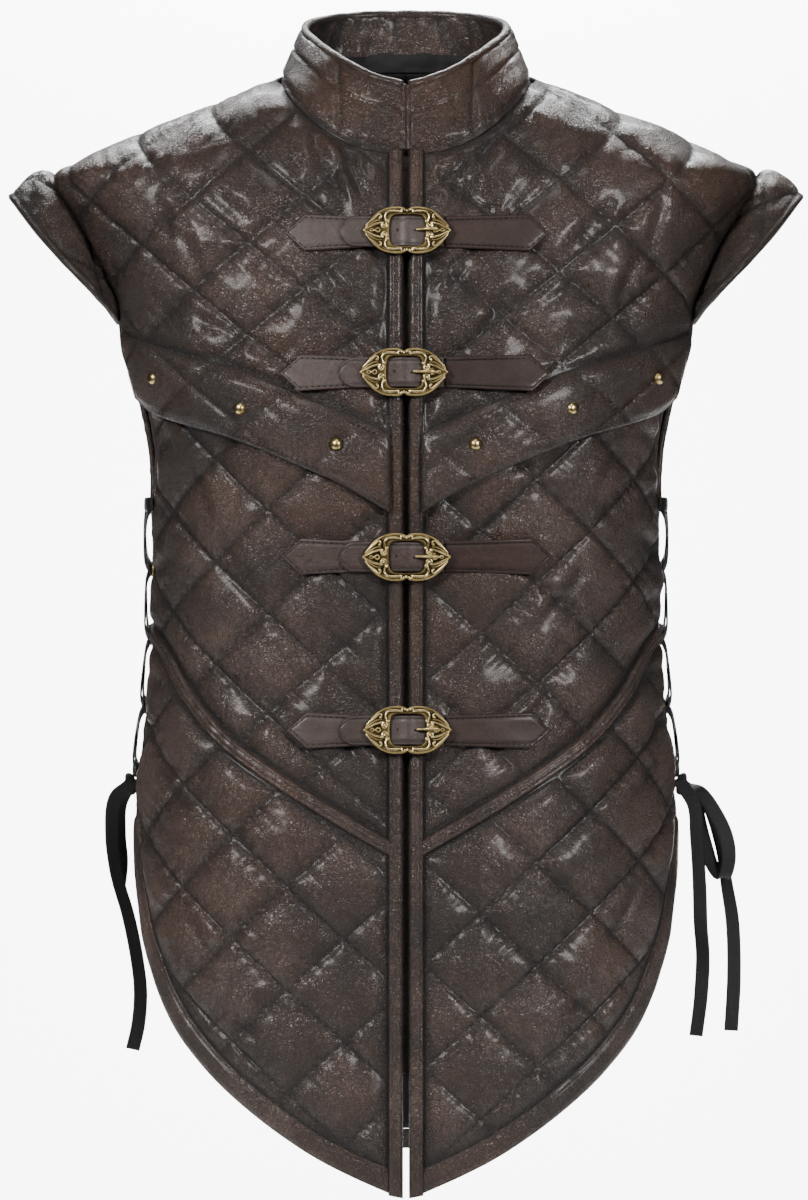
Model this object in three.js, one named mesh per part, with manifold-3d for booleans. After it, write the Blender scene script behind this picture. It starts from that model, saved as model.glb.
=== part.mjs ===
// A quilted leather vest with a stand collar, winged shoulders, four buckle straps and laced
// sides, standing open and hollow as it does when it is worn. Millimetres, +Z up, the wearer
// faces -Y, and the origin is at the middle of the neck, level with the tops of the shoulders.
import * as THREE from "three";
import { mergeVertices } from "three/addons/utils/BufferGeometryUtils.js";
import Module from "manifold-3d";

const wasm = await Module();
wasm.setup();

// ---- driving dimensions ----
const SEAM = 0.3; // gap between pieces that are sewn together
const SHOULDER_SEAM = 0.8; // the same where the seam runs over the sharp ridge of the shoulder
const WALL = 2.6; // leather, wadding and lining where they are stitched flat
const PUFF = 5; // how far the wadding rises between the stitched lines
const SKIN = WALL + PUFF; // the full quilted thickness
const OVERLAY = SKIN + SEAM; // where leather that lies on the quilting starts
const STRAP = 2.2; // strap leather
const STRAP_GAP = 0.7; // curved leather on curved leather touches along its middle only
const QUILT = { halfWidth: 40, halfHeight: 36 }; // half the diagonals of one diamond
const YOKE_QUILT = { halfWidth: 40, halfHeight: 32 };
const LACE_GAP = 15; // each side edge's distance from the side line
const HEM_BAND = 14; // plain stitched band along the hem
const YOKE_BAND = 25; // how far the front runs up under the yoke's free edge
const EDGE = 11; // each front panel's distance from the centre line, beside its piped edge
// The piped front edge: its strip on the pattern, and its height at its sides and middle.
const PIPE = { from: 2, to: EDGE - SEAM, low: 4.4, high: 8, top: -53.5, bottom: -783 };
const WELT = { width: 7.5, high: WALL + 3.4 };
const WELT_ROOM = WELT.width / 2 + 0.5;
const BACK_NECK = 9;
const BACK_HEM_RISE = 8; // the back's hem is this much higher than the front's
const CAP_SEAM = 7.2; // the cap's inner face starts this far beyond the armhole's edge
const CAP_LOW = 3;
const CAP_TOP = -70;
const CAP_CROWN = 9;
const CAP_SKEW = 0.65; // below 1, the crown is fullest near the seam
const CAP_WIDE = 3; // spans across a cap, from its seam to its edge
const CAP_LONG = 24;
// A cap's wadding: how thick, and the share of its width and length over which it swells.
const CAP_PUFF = { high: 3, wide: 0.3, long: 0.06, stitched: 0.3 };
const SEAM_EVERY = 5; // a stitched line crosses caps and collar at every fifth column
// The collar's thickness at its rolled rim and between its stitched lines.
const COLLAR_WALL = { rim: 5, padded: 4.4 };
const LACE_SPANS = 1.5; // spans of tape for each point of a lace's route
// Spans of the collar's wall: up it, and round one half of it.
const COLLAR_HIGH = 4;
const COLLAR_HALF = 15;
// Strap tabs: half widths at the arrow and the throat, the arrow's length, the inner ends.
const TAB = { shoulder: 12.7, throat: 10.5, arrow: 14, innerLeft: -30, innerRight: 26.1 };
const TONGUE = { halfWidth: 10.5, from: -45, to: 26 };
// The buckle: a quarter of its edge, from the leaf's point to the notch above the window, and
// the window with its cut corners.
const PLATE_EDGE = [
  [31, 0], [28.6, 4.4], [25.4, 8.8], [20.8, 12.9], [14.4, 16], [7, 16.9], [2.4, 16.2], [0, 14.6],
];
const WINDOW = { left: -11.8, right: 12.5, high: 11.3, corner: 2.5 };
const BUCKLE_WALL = 3.2;
const BEVEL = 0.8;
// The buckle's prong: where it starts, bends and ends along the strap.
const PRONG = { root: 22, bend: 13.5, tip: 6, rise: 0.5, radius: 1.1 };
const RIVET = { radius: 4.5, height: 3 };
// The lacing's tape, how far it starts beyond the side edge, and how far out it lies.
const LACE = { width: 10, thick: 1.4, inset: 6, out: 7.3 };

// The hollow that the vest keeps: one level ring for each row, as half width, and depth in
// front of and behind the origin.
const FORM = [
  { z: 60, width: 30, front: 24, back: 30 },
  { z: 20, width: 60, front: 47, back: 52 },
  { z: 2, width: 88, front: 60, back: 66 },
  { z: -9, width: 111, front: 68, back: 78 },
  { z: -17, width: 131, front: 73, back: 86 },
  { z: -26, width: 153, front: 79, back: 93 },
  { z: -34, width: 174, front: 83, back: 98 },
  { z: -42, width: 193, front: 87, back: 102 },
  { z: -51, width: 211, front: 91, back: 106 },
  { z: -60, width: 232, front: 95, back: 109 },
  { z: -68, width: 246, front: 98, back: 111 },
  { z: -91, width: 238, front: 106, back: 115 },
  { z: -113, width: 227, front: 111, back: 117 },
  { z: -138, width: 216, front: 115, back: 118 },
  { z: -176, width: 203, front: 119, back: 118 },
  { z: -214, width: 192, front: 120, back: 116 },
  { z: -265, width: 181, front: 119, back: 111 },
  { z: -330, width: 178, front: 114, back: 104 },
  { z: -400, width: 178, front: 110, back: 101 },
  { z: -437, width: 181, front: 111, back: 104 },
  { z: -490, width: 187, front: 115, back: 112 },
  { z: -560, width: 191, front: 119, back: 119 },
  { z: -680, width: 195, front: 123, back: 123 },
  { z: -840, width: 198, front: 126, back: 126 },
];
const ROUNDNESS = 0.88; // 1 is an ellipse, less is squarer
const RING_STEPS = 48;

// ---- the form ----
// Widths and depths run smoothly through the rows of FORM, as a cubic through four of them.
function ringAt(z) {
  const found = FORM.findIndex((r) => r.z <= z);
  const at = Math.min(Math.max(found < 0 ? FORM.length - 1 : found, 1), FORM.length - 1);
  const [a, b, c, d] = [at - 2, at - 1, at, at + 1].map((i) => FORM[i] ?? null);
  const share = (z - b.z) / (c.z - b.z);
  const smooth = (key) => {
    const run = c.z - b.z;
    const slope = (c[key] - b[key]) / run;
    const before = a ? (c[key] - a[key]) / (c.z - a.z) : slope;
    const after = d ? (d[key] - b[key]) / (d.z - b.z) : slope;
    const t = share;
    const h = (1 + 2 * t) * (1 - t) ** 2 * b[key] + t * t * (3 - 2 * t) * c[key];
    return h + run * (t * (1 - t) ** 2 * before + t * t * (t - 1) * after);
  };
  return { width: smooth("width"), front: smooth("front"), back: smooth("back") };
}

// A point on the ring at height z, turned from the centre front (0) to the centre back (pi).
function ringPoint(ring, turn) {
  const sine = Math.max(Math.sin(turn), 0);
  const cosine = Math.cos(turn);
  const depth = cosine > 0 ? ring.front : ring.back;
  return {
    x: ring.width * sine ** ROUNDNESS,
    y: -depth * Math.sign(cosine) * Math.abs(cosine) ** ROUNDNESS,
  };
}

// The half ring at z as points with the length run so far, from the centre front.
const runs = new Map();
function ringRun(z) {
  const key = z.toFixed(4);
  if (runs.has(key)) return runs.get(key);
  const ring = ringAt(z);
  const run = [];
  let length = 0;
  for (let i = 0; i <= 2 * RING_STEPS; i++) {
    const point = ringPoint(ring, (Math.PI / 2 / RING_STEPS) * i);
    if (i > 0) length += Math.hypot(point.x - run[i - 1].x, point.y - run[i - 1].y);
    run.push({ ...point, length });
  }
  runs.set(key, run);
  return run;
}
const quarter = (z) => ringRun(z)[RING_STEPS].length;
const half = (z) => ringRun(z)[2 * RING_STEPS].length;

function along(run, length) {
  let i = run.findIndex((p) => p.length >= length);
  i = i < 0 ? run.length - 1 : Math.max(i, 1);
  const a = run[i - 1];
  const b = run[i];
  const share = (length - a.length) / (b.length - a.length);
  return { x: a.x + (b.x - a.x) * share, y: a.y + (b.y - a.y) * share };
}

// The place on the form that lies u along the ring from the centre front at height z. The
// ring is the same on both sides, so u may run below 0 or past the centre back.
function formPoint(u, z) {
  const whole = half(z);
  const reach = u < 0 ? -u : u > whole ? 2 * whole - u : u;
  const p = along(ringRun(z), reach);
  return new THREE.Vector3(u < 0 || u > whole ? -p.x : p.x, p.y, z);
}
function formNormal(u, z) {
  const d = 2;
  const across = formPoint(u + d, z).sub(formPoint(u - d, z));
  const up = formPoint(u, z + d).sub(formPoint(u, z - d));
  return across.cross(up).normalize();
}
// Moves a flat point (u, z, out) onto the form, out from its surface.
function onForm(u, z, out) {
  return formPoint(u, z).addScaledVector(formNormal(u, z), out);
}
// The length along the ring to where the front reaches x.
function reachOf(x, z) {
  const run = ringRun(z);
  const i = run.findIndex((p, k) => k > 0 && p.x >= Math.abs(x));
  if (i < 1 || i > RING_STEPS) return quarter(z);
  const a = run[i - 1];
  const b = run[i];
  const share = (Math.abs(x) - a.x) / (b.x - a.x);
  return a.length + (b.length - a.length) * share;
}

// ---- meshes and solids ----
const group = new THREE.Group();
const LEATHER = { color: 0x49403c, roughness: 0.45, metalness: 0 };
const STRAP_LEATHER = { color: 0x443430, roughness: 0.4, metalness: 0 };
const BRASS = { color: 0x96824a, roughness: 0.35, metalness: 1 };
const TAPE = { color: 0x0c0c0e, roughness: 0.8, metalness: 0 };
const LINING = { color: 0x0f0f11, roughness: 0.7, metalness: 0 };

function addMesh(name, geometry, finish) {
  const mesh = new THREE.Mesh(geometry, new THREE.MeshStandardMaterial(finish));
  mesh.name = name;
  group.add(mesh);
}
const turnedRound = (faces) => faces.map(([a, b, c]) => [a, c, b]);
function geometryOf(points, faces) {
  const geometry = new THREE.BufferGeometry();
  const numbers = points.flatMap((p) => [p.x, p.y, p.z]);
  geometry.setAttribute("position", new THREE.Float32BufferAttribute(numbers, 3));
  geometry.setIndex(faces.flat());
  return geometry;
}
function solidOf(geometry) {
  const bare = geometry.clone();
  bare.deleteAttribute("normal");
  bare.deleteAttribute("uv");
  const merged = mergeVertices(bare, 1e-4);
  return new wasm.Manifold(
    new wasm.Mesh({
      numProp: 3,
      vertProperties: merged.attributes.position.array,
      triVerts: new Uint32Array(merged.index.array),
    }),
  );
}
function pointsOf(solid) {
  const mesh = solid.getMesh();
  const points = [];
  for (let i = 0; i < mesh.numVert; i++) {
    const at = i * mesh.numProp;
    points.push(new THREE.Vector3(...mesh.vertProperties.subarray(at, at + 3)));
  }
  const faces = [];
  for (let i = 0; i < mesh.numTri; i++) faces.push([...mesh.triVerts.subarray(3 * i, 3 * i + 3)]);
  return { points, faces };
}

// ---- flat patterns ----
// Every pattern is drawn flat as (u, z) on the +X side, and its wall is built over a grid that
// follows the quilting. BOW bends the flat wall a little while it is cut, which keeps the
// grid's points on its plain faces, and it is taken out again when the wall goes on the form.
const BOW = 1e-3;
const bowAt = (u, z, middle) => BOW * ((u - middle.u) ** 2 + (z - middle.z) ** 2);

function distanceTo(line, u, z, closed) {
  let best = Infinity;
  const count = closed ? line.length : line.length - 1;
  for (let i = 0; i < count; i++) {
    const a = line[i];
    const b = line[(i + 1) % line.length];
    const du = b.u - a.u;
    const dz = b.z - a.z;
    const share = ((u - a.u) * du + (z - a.z) * dz) / (du * du + dz * dz || 1);
    const t = Math.min(Math.max(share, 0), 1);
    best = Math.min(best, Math.hypot(u - a.u - t * du, z - a.z - t * dz));
  }
  return best;
}
const rise = (t) => {
  const s = Math.min(Math.max(t, 0), 1);
  return s * (2 - s);
};
// How far a point lies inside its diamond: 0 on a stitched line, 1 in the middle.
function quiltShare(u, z, quilt) {
  const a = (u - quilt.u) / quilt.halfWidth;
  const b = (z - quilt.z) / quilt.halfHeight;
  const fold = (v) => Math.abs(((((v % 2) + 2) % 2) - 1)); // 1 on lines 0, 2, 4 and 0 between
  return Math.min(1 - fold(a + b), 1 - fold(a - b));
}

// A net of points over the flat pattern: steps `across` and `up` from one point of it.
const squareNet = (u, z, stepU, stepZ) => ({
  u,
  z,
  across: { u: stepU, z: 0 },
  up: { u: 0, z: stepZ },
});
// The quilting's own net: crossings, middles of the stitched sides and middles of diamonds.
const diamondNet = ({ u, z, halfWidth, halfHeight }) => ({
  u,
  z,
  across: { u: halfWidth / 2, z: -halfHeight / 2 },
  up: { u: halfWidth / 2, z: halfHeight / 2 },
});
// The first and last step of the net, each way, that cover the outline.
function netRange(outline, net) {
  const { across, up } = net;
  const area = across.u * up.z - across.z * up.u;
  const us = outline.map((p) => p.u - net.u);
  const zs = outline.map((p) => p.z - net.z);
  const corners = [Math.min(...us) - 2, Math.max(...us) + 2].flatMap((u) =>
    [Math.min(...zs) - 2, Math.max(...zs) + 2].map((z) => ({
      i: (u * up.z - z * up.u) / area,
      j: (across.u * z - across.z * u) / area,
    })),
  );
  const reach = (key) => {
    const all = corners.map((c) => c[key]);
    return [Math.floor(Math.min(...all)), Math.ceil(Math.max(...all))];
  };
  return { i: reach("i"), j: reach("j") };
}

// A wall over the outline, from its inner offset to its outer one, still flat.
function flatWall(outline, net, inner, outer) {
  const range = netRange(outline, net);
  const [firstI, lastI] = range.i;
  const [firstJ, lastJ] = range.j;
  const zs = outline.map((p) => p.z);
  const middle = { u: net.u, z: (Math.min(...zs) + Math.max(...zs)) / 2 };
  const columns = lastI - firstI + 1;
  const rows = lastJ - firstJ + 1;
  const points = [];
  for (const layer of [inner, outer]) {
    for (let j = firstJ; j <= lastJ; j++) {
      for (let i = firstI; i <= lastI; i++) {
        const u = net.u + i * net.across.u + j * net.up.u;
        const z = net.z + i * net.across.z + j * net.up.z;
        points.push(new THREE.Vector3(u, z, layer(u, z) + bowAt(u, z, middle)));
      }
    }
  }
  const faces = [];
  const top = columns * rows;
  const quad = (a, b, c, d, turned) => {
    if (turned) faces.push([a, b, d], [b, c, d]);
    else faces.push([a, b, c], [a, c, d]);
  };
  for (let j = 0; j < rows - 1; j++) {
    for (let i = 0; i < columns - 1; i++) {
      const a = j * columns + i;
      const turned = (firstI + i + firstJ + j) % 2 !== 0; // the edge runs to a crossing
      quad(top + a, top + a + 1, top + a + columns + 1, top + a + columns, turned);
      if (turned) faces.push([a, a + columns, a + 1], [a + 1, a + columns, a + columns + 1]);
      else faces.push([a, a + columns + 1, a + 1], [a, a + columns, a + columns + 1]);
    }
  }
  const rim = [];
  for (let i = 0; i < columns - 1; i++) rim.push(i);
  for (let j = 0; j < rows - 1; j++) rim.push(j * columns + columns - 1);
  for (let i = columns - 1; i > 0; i--) rim.push((rows - 1) * columns + i);
  for (let j = rows - 1; j > 0; j--) rim.push(j * columns);
  rim.forEach((a, i) => {
    const b = rim[(i + 1) % rim.length];
    faces.push([a, b, top + b], [a, top + b, top + a]);
  });
  const wall = solidOf(geometryOf(points, faces));
  return { solid: wall.intersect(prismOf(outline)), middle };
}
function prismOf(outline) {
  const shape = new THREE.Shape(outline.map((p) => new THREE.Vector2(p.u, p.z)));
  const depth = 1200;
  const prism = new THREE.ExtrudeGeometry(shape, { depth, bevelEnabled: false, steps: 1 });
  prism.translate(0, 0, -depth / 4);
  return solidOf(prism);
}
// Puts a flat wall on the form. A place that mirrors the pattern also turns its faces round.
function wrapWall(flat, place, mirrors) {
  const { points, faces } = pointsOf(flat.solid);
  const placed = points.map((p) => place(p.x, p.y, p.z - bowAt(p.x, p.y, flat.middle)));
  return geometryOf(placed, mirrors ? turnedRound(faces) : faces);
}
const onFront = (side) => (u, z, out) => onForm(side * u, z, out);
const onBack = (u, z, out) => onForm(half(z) - u, z, out);
// A closed outline from lines of points, each point {x, z} seen from the front.
const flatten = (points) => points.map((p) => ({ u: p.u ?? reachOf(p.x, p.z), z: p.z }));
const steps = (count, make) => Array.from({ length: count + 1 }, (_, i) => make(i / count));
const mix = (a, b, share) => a + (b - a) * share;

// ---- pattern lines, seen from the front as x and z on the +X side ----
const NECK = [
  { x: EDGE, z: -53 },
  { x: 26, z: -50.5 },
  { x: 48, z: -41.5 },
  { x: 69, z: -26 },
  { x: 84, z: -6 },
];
const BAND_SEAM = [
  { x: 150, z: -196 },
  { x: 110, z: -208 },
  { x: 81, z: -221 },
  { x: 50, z: -234 },
  { x: EDGE, z: -252 },
];
const YOKE_EDGE = [
  { x: 170, z: -233 },
  { x: 150, z: -242 },
  { x: 123, z: -251 },
  { x: 98, z: -261 },
  { x: 71, z: -273 },
  { x: 45, z: -285 },
  { x: EDGE, z: -305 },
];
const WAIST_SEAM = [
  { x: 168, z: -402 },
  { x: 153, z: -432 },
  { x: 128, z: -464 },
  { x: 100, z: -486 },
  { x: 68, z: -507 },
  { x: 35, z: -527 },
  { x: EDGE, z: -541 },
];
const HEM = [
  { x: 189, z: -554 },
  { x: 187, z: -578 },
  { x: 184, z: -602 },
  { x: 177, z: -630 },
  { x: 163, z: -664 },
  { x: 144, z: -691 },
  { x: 125, z: -711 },
  { x: 96, z: -735 },
  { x: 65, z: -756 },
  { x: 38, z: -770 },
  { x: EDGE, z: -782 },
];
// How far the front and the back stop short of the side line: a shoulder seam, an armhole,
// and the laced side.
const SIDE = [
  { z: -66, front: SEAM / 2, back: SEAM / 2 },
  { z: -78, front: 17, back: 11 },
  { z: -91, front: 25, back: 16 },
  { z: -113, front: 31, back: 22 },
  { z: -138, front: 36, back: 26 },
  { z: -176, front: 44, back: 28 },
  { z: -220, front: 46, back: 24 },
  { z: -265, front: 42, back: 20 },
  { z: -300, front: 26, back: LACE_GAP },
  { z: -345, front: LACE_GAP, back: LACE_GAP },
  { z: -900, front: LACE_GAP, back: LACE_GAP },
];
const NECK_SIDE = 2; // height of the neck's side point, where the shoulder seam starts
const SHOULDER_END = -66;
const SHOULDER_STEPS = 14;
const BAND_SIDE = -177; // heights where pattern lines reach the armhole or side edge
const YOKE_CORNER = -222;
const WAIST_SIDE = -388;
const HEM_SIDE = -540;
const HEM_START = -518; // where the hem's band starts on the side edge

function sideGap(z, key) {
  if (z >= SHOULDER_END) return SEAM / 2;
  const row = SIDE.findIndex((r) => r.z <= z);
  const above = SIDE[row - 1] ?? SIDE[0];
  const below = SIDE[row];
  return mix(above[key], below[key], above.z === below.z ? 0 : (above.z - z) / (above.z - below.z));
}
const sidePoint = (z) => ({ u: quarter(z) - sideGap(z, "front"), z });
const sideRun = (from, to, count) => steps(count, (t) => sidePoint(mix(from, to, t)));

const neck = flatten(NECK);
const bandSeam = [sidePoint(BAND_SIDE), ...flatten(BAND_SEAM)];
const yokeEdge = [sidePoint(YOKE_CORNER), ...flatten(YOKE_EDGE)];
const waistSeam = [sidePoint(WAIST_SIDE), ...flatten(WAIST_SEAM)];
const hem = [sidePoint(HEM_SIDE), ...flatten(HEM)];

// A line moved sideways by a distance, to the left of its run.
function besideLine(line, distance) {
  return line.map((p, i) => {
    const a = line[Math.max(i - 1, 0)];
    const b = line[Math.min(i + 1, line.length - 1)];
    const length = Math.hypot(b.u - a.u, b.z - a.z);
    const du = (-(b.z - a.z) / length) * distance;
    const dz = ((b.u - a.u) / length) * distance;
    return { u: p.u + du, z: p.z + dz };
  });
}
// A line cut off where it reaches the front edge.
function trimmed(line) {
  const last = line.findIndex((p) => p.u < EDGE);
  if (last < 1) return line;
  const a = line[last - 1];
  const b = line[last];
  return [...line.slice(0, last), { u: EDGE, z: mix(a.z, b.z, (a.u - EDGE) / (a.u - b.u)) }];
}
// A line's last stretch made longer, so that a shifted line still reaches the front edge.
function reaching(line) {
  const a = line.at(-2);
  const b = line.at(-1);
  const more = { u: 2 * b.u - a.u, z: 2 * b.z - a.z };
  return [...line, more];
}
// Leather lifts over what lies under it: the yoke stands off the front below it.
const LIFT = SKIN + 1;
function yokeLift(u, z) {
  const t = Math.min(Math.max((distanceTo(yokeEdge, Math.abs(u), z) - 30) / 45, 0), 1);
  return LIFT * (1 - t * t * (3 - 2 * t));
}

// ---- quilted panels ----
function quiltedPanel(name, outline, quilt, place, mirrors, lift = () => 0, finish = LEATHER) {
  const net = diamondNet(quilt);
  const thickness = (u, z) => {
    const edge = rise((distanceTo(outline, u, z, true) - 3) / 12);
    return WALL + PUFF * rise(quiltShare(u, z, quilt)) * edge;
  };
  const outer = (u, z) => lift(u, z) + thickness(u, z);
  addMesh(name, wrapWall(flatWall(outline, net, lift, outer), place, mirrors), finish);
}
// A smooth padded strip, thickest along its middle.
function strip(name, outline, net, low, high, place, mirrors, finish = LEATHER) {
  addMesh(name, wrapWall(flatWall(outline, net, low, high), place, mirrors), finish);
}

// Where the stitched lines cross on each panel, as one crossing of its net.
const NETS = {
  yoke_left: { u: 28, z: -73, ...YOKE_QUILT },
  yoke_right: { u: 71, z: -85, ...YOKE_QUILT },
  front_left: { u: 12, z: -426, ...QUILT },
  front_right: { u: 97, z: -304, ...QUILT },
  skirt_left: { u: 12, z: -622, ...QUILT },
  skirt_right: { u: 43, z: -604, ...QUILT },
  back: { u: 0, z: -80, ...QUILT },
};
const SIDES = [
  { name: "left", side: 1 },
  { name: "right", side: -1 },
];
// The lining is only in reach of the neck and the armholes: its half outline on the back.
const LINING_OUTLINE = [
  { u: 0, z: 3 },
  { u: 60, z: 0 },
  { u: 96, z: -22 },
  { u: 110, z: -90 },
  { u: 300, z: -130 },
  { u: 300, z: -176 },
  { u: 300, z: -220 },
  { u: 300, z: -265 },
  { u: 300, z: -300 },
  { u: 0, z: -300 },
];

function frontPieces({ name, side }) {
  const place = onFront(side);
  const mirrors = side < 0;
  const shoulder = steps(SHOULDER_STEPS, (t) => {
    const z = mix(NECK_SIDE, SHOULDER_END, t);
    return { u: quarter(z) - SHOULDER_SEAM / 2, z };
  });
  const armhole = sideRun(SHOULDER_END - 4, BAND_SIDE + 6, 9);
  const yoke = [...neck, ...shoulder, ...armhole, ...trimmed(besideLine(bandSeam, -SEAM / 2))];
  quiltedPanel(`yoke_${name}`, yoke, NETS[`yoke_${name}`], place, mirrors, yokeLift);

  const bandTop = trimmed(besideLine(reaching(bandSeam), SEAM / 2));
  const band = [...bandTop, ...[...yokeEdge].reverse()];
  const bandNet = squareNet(EDGE, -250, 26, 22);
  const bandOuter = (u, z) =>
    yokeLift(u, z) + WALL + 3 * rise((distanceTo(band, u, z, true) - 2) / 8);
  strip(`yoke_band_${name}`, band, bandNet, yokeLift, bandOuter, place, mirrors);

  const tucked = yokeEdge.map((p) => ({ u: p.u, z: p.z + YOKE_BAND }));
  const side1 = sideRun(YOKE_CORNER + YOKE_BAND - 8, WAIST_SIDE + 8, 9);
  const front = [...tucked.reverse(), ...side1, ...trimmed(besideLine(waistSeam, -WELT_ROOM))];
  quiltedPanel(`front_${name}`, front, NETS[`front_${name}`], place, mirrors);

  const hemTop = trimmed([sidePoint(HEM_START), ...besideLine(hem, -HEM_BAND).slice(1)]);
  const side2 = sideRun(WAIST_SIDE - 8, hemTop[0].z + 8, 6);
  const skirtEnd = trimmed(besideLine(hemTop, -SEAM));
  const skirtTop = trimmed(besideLine(reaching(waistSeam), WELT_ROOM)).reverse();
  const skirt = [...skirtTop, ...side2, ...skirtEnd];
  quiltedPanel(`skirt_${name}`, skirt, NETS[`skirt_${name}`], place, mirrors);

  const hemBand = [...hemTop, ...[...hem].reverse()];
  const hemNet = squareNet(EDGE, -600, 30, 30);
  const hemOuter = (u, z) => WALL + 1.6 * rise(distanceTo(hemBand, u, z, true) / 5);
  strip(`hem_${name}`, hemBand, hemNet, () => 0, hemOuter, place, mirrors);
}

// ---- the piped front edges, and the waist welts between the fronts and the skirts ----
function edgePieces({ name, side }) {
  const place = onFront(side);
  const mirrors = side < 0;
  const pipe = [
    { u: PIPE.from, z: PIPE.top },
    { u: PIPE.to, z: PIPE.top },
    { u: PIPE.to, z: PIPE.bottom },
    { u: PIPE.from, z: PIPE.bottom - 2 },
  ];
  const pipeNet = squareNet(PIPE.from, PIPE.top, (PIPE.to - PIPE.from) / 3, 44);
  const inPipe = (u) => Math.min(u - PIPE.from, PIPE.to - u);
  const pipeOuter = (u) => mix(PIPE.low, PIPE.high, rise(inPipe(u) / 3));
  strip(`piping_${name}`, pipe, pipeNet, () => 0, pipeOuter, place, mirrors);

  const upper = trimmed(besideLine(waistSeam, -WELT.width / 2));
  const lower = trimmed(besideLine(reaching(waistSeam), WELT.width / 2));
  const weltNet = squareNet(EDGE, -460, 20, 20);
  const weltOuter = () => WELT.high;
  strip(`welt_${name}`, [...upper, ...lower.reverse()], weltNet, () => 0, weltOuter, place, mirrors);
}

// ---- the back, sewn from four quilted pieces with one hem band, and the lining in the openings ----
// The length along the back's rings, from the centre back to the side edge.
const backReach = (z) => half(z) - quarter(z) - sideGap(z, "back");
const mirrored = (line) => [...line].reverse().map((p) => ({ u: -p.u, z: p.z }));
const apart = (outline) =>
  outline.filter((p, i, all) => Math.hypot(p.u - all.at(i - 1).u, p.z - all.at(i - 1).z) > 0.1);
// A line of the front's pattern laid on the back, from the side edge to the centre seam.
function fromFront(line, sideHeight, raised) {
  const moved = line.slice(1).map((p) => ({
    u: Math.min(p.u, quarter(p.z)) * backScale(p.z),
    z: p.z + raised,
  }));
  return [{ u: backReach(sideHeight), z: sideHeight }, ...moved.slice(0, -1)];
}
const toCentre = (line) => [...line, { u: SEAM / 2, z: line.at(-1).z }];

function backPieces() {
  const sideLine = (from, to, count) =>
    steps(count, (t) => ({ u: backReach(mix(from, to, t)), z: mix(from, to, t) }));
  const neckLine = steps(4, (t) => {
    const z = mix(BACK_NECK, NECK_SIDE, t * t);
    return { u: mix(SEAM / 2, half(z) - quarter(z) - SHOULDER_SEAM / 2, t), z };
  });
  const shoulder = steps(SHOULDER_STEPS, (t) => {
    const z = mix(NECK_SIDE, SHOULDER_END, t);
    return { u: half(z) - quarter(z) - SHOULDER_SEAM / 2, z };
  }).slice(1);
  const armhole = sideLine(SHOULDER_END - 6, -300, 10);
  const waist = toCentre(fromFront(waistSeam, WAIST_SIDE, 0));
  const hemLine = fromFront(hem, HEM_SIDE, BACK_HEM_RISE);
  const hemTop = [
    { u: backReach(HEM_START), z: HEM_START },
    ...besideLine(hemLine, -HEM_BAND).slice(1),
  ];
  const aboveWaist = [...besideLine(waist, -SEAM / 2).slice(0, -1), waist.at(-1)];
  const belowWaist = besideLine(waist, SEAM / 2)
    .slice(0, -1)
    .concat({ u: SEAM / 2, z: waist.at(-1).z - SEAM });
  const upper = [...neckLine, ...shoulder, ...armhole, ...sideLine(-330, -370, 2), ...aboveWaist];
  const skirtSide = sideLine(HEM_START + 8, WAIST_SIDE - 12, 5);
  const skirtEnd = toCentre(besideLine(hemTop, -SEAM));
  const skirt = [...skirtEnd.reverse(), ...skirtSide, ...belowWaist];
  SIDES.forEach(({ name, side }) => {
    const place = (u, z, out) => onBack(side * u, z, out);
    quiltedPanel(`back_${name}`, apart(upper), NETS.back, place, side > 0);
    quiltedPanel(`skirt_back_${name}`, apart(skirt), NETS.back, place, side > 0);
  });

  const top = [...hemTop, ...mirrored(hemTop)];
  const low = [...hemLine, ...mirrored(hemLine)];
  const band = [...top, ...low.reverse()];
  const bandOuter = (u, z) => WALL + 1.6 * rise(distanceTo(band, u, z, true) / 5);
  const bandNet = squareNet(0, -600, 30, 30);
  strip("hem_back", band, bandNet, () => 0, bandOuter, onBack, true);

  const liningSide = LINING_OUTLINE.map((p) => ({ u: Math.min(p.u, backReach(p.z) - 6), z: p.z }));
  const liningOutline = apart([...liningSide, ...mirrored(liningSide)]);
  const liningNet = squareNet(0, -150, 40, 36);
  const liningOut = (u, z) => -1.4 - 5 * Math.min(Math.max((z + 150) / 150, 0), 1); // looser above
  const liningIn = (u, z) => liningOut(u, z) - 1.2;
  strip("lining_back", liningOutline, liningNet, liningIn, liningOut, onBack, true, LINING);
}
// The back's rings are a little fuller or flatter than the front's at the same height.
const backScale = (z) => (half(z) - quarter(z)) / quarter(z);

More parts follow.
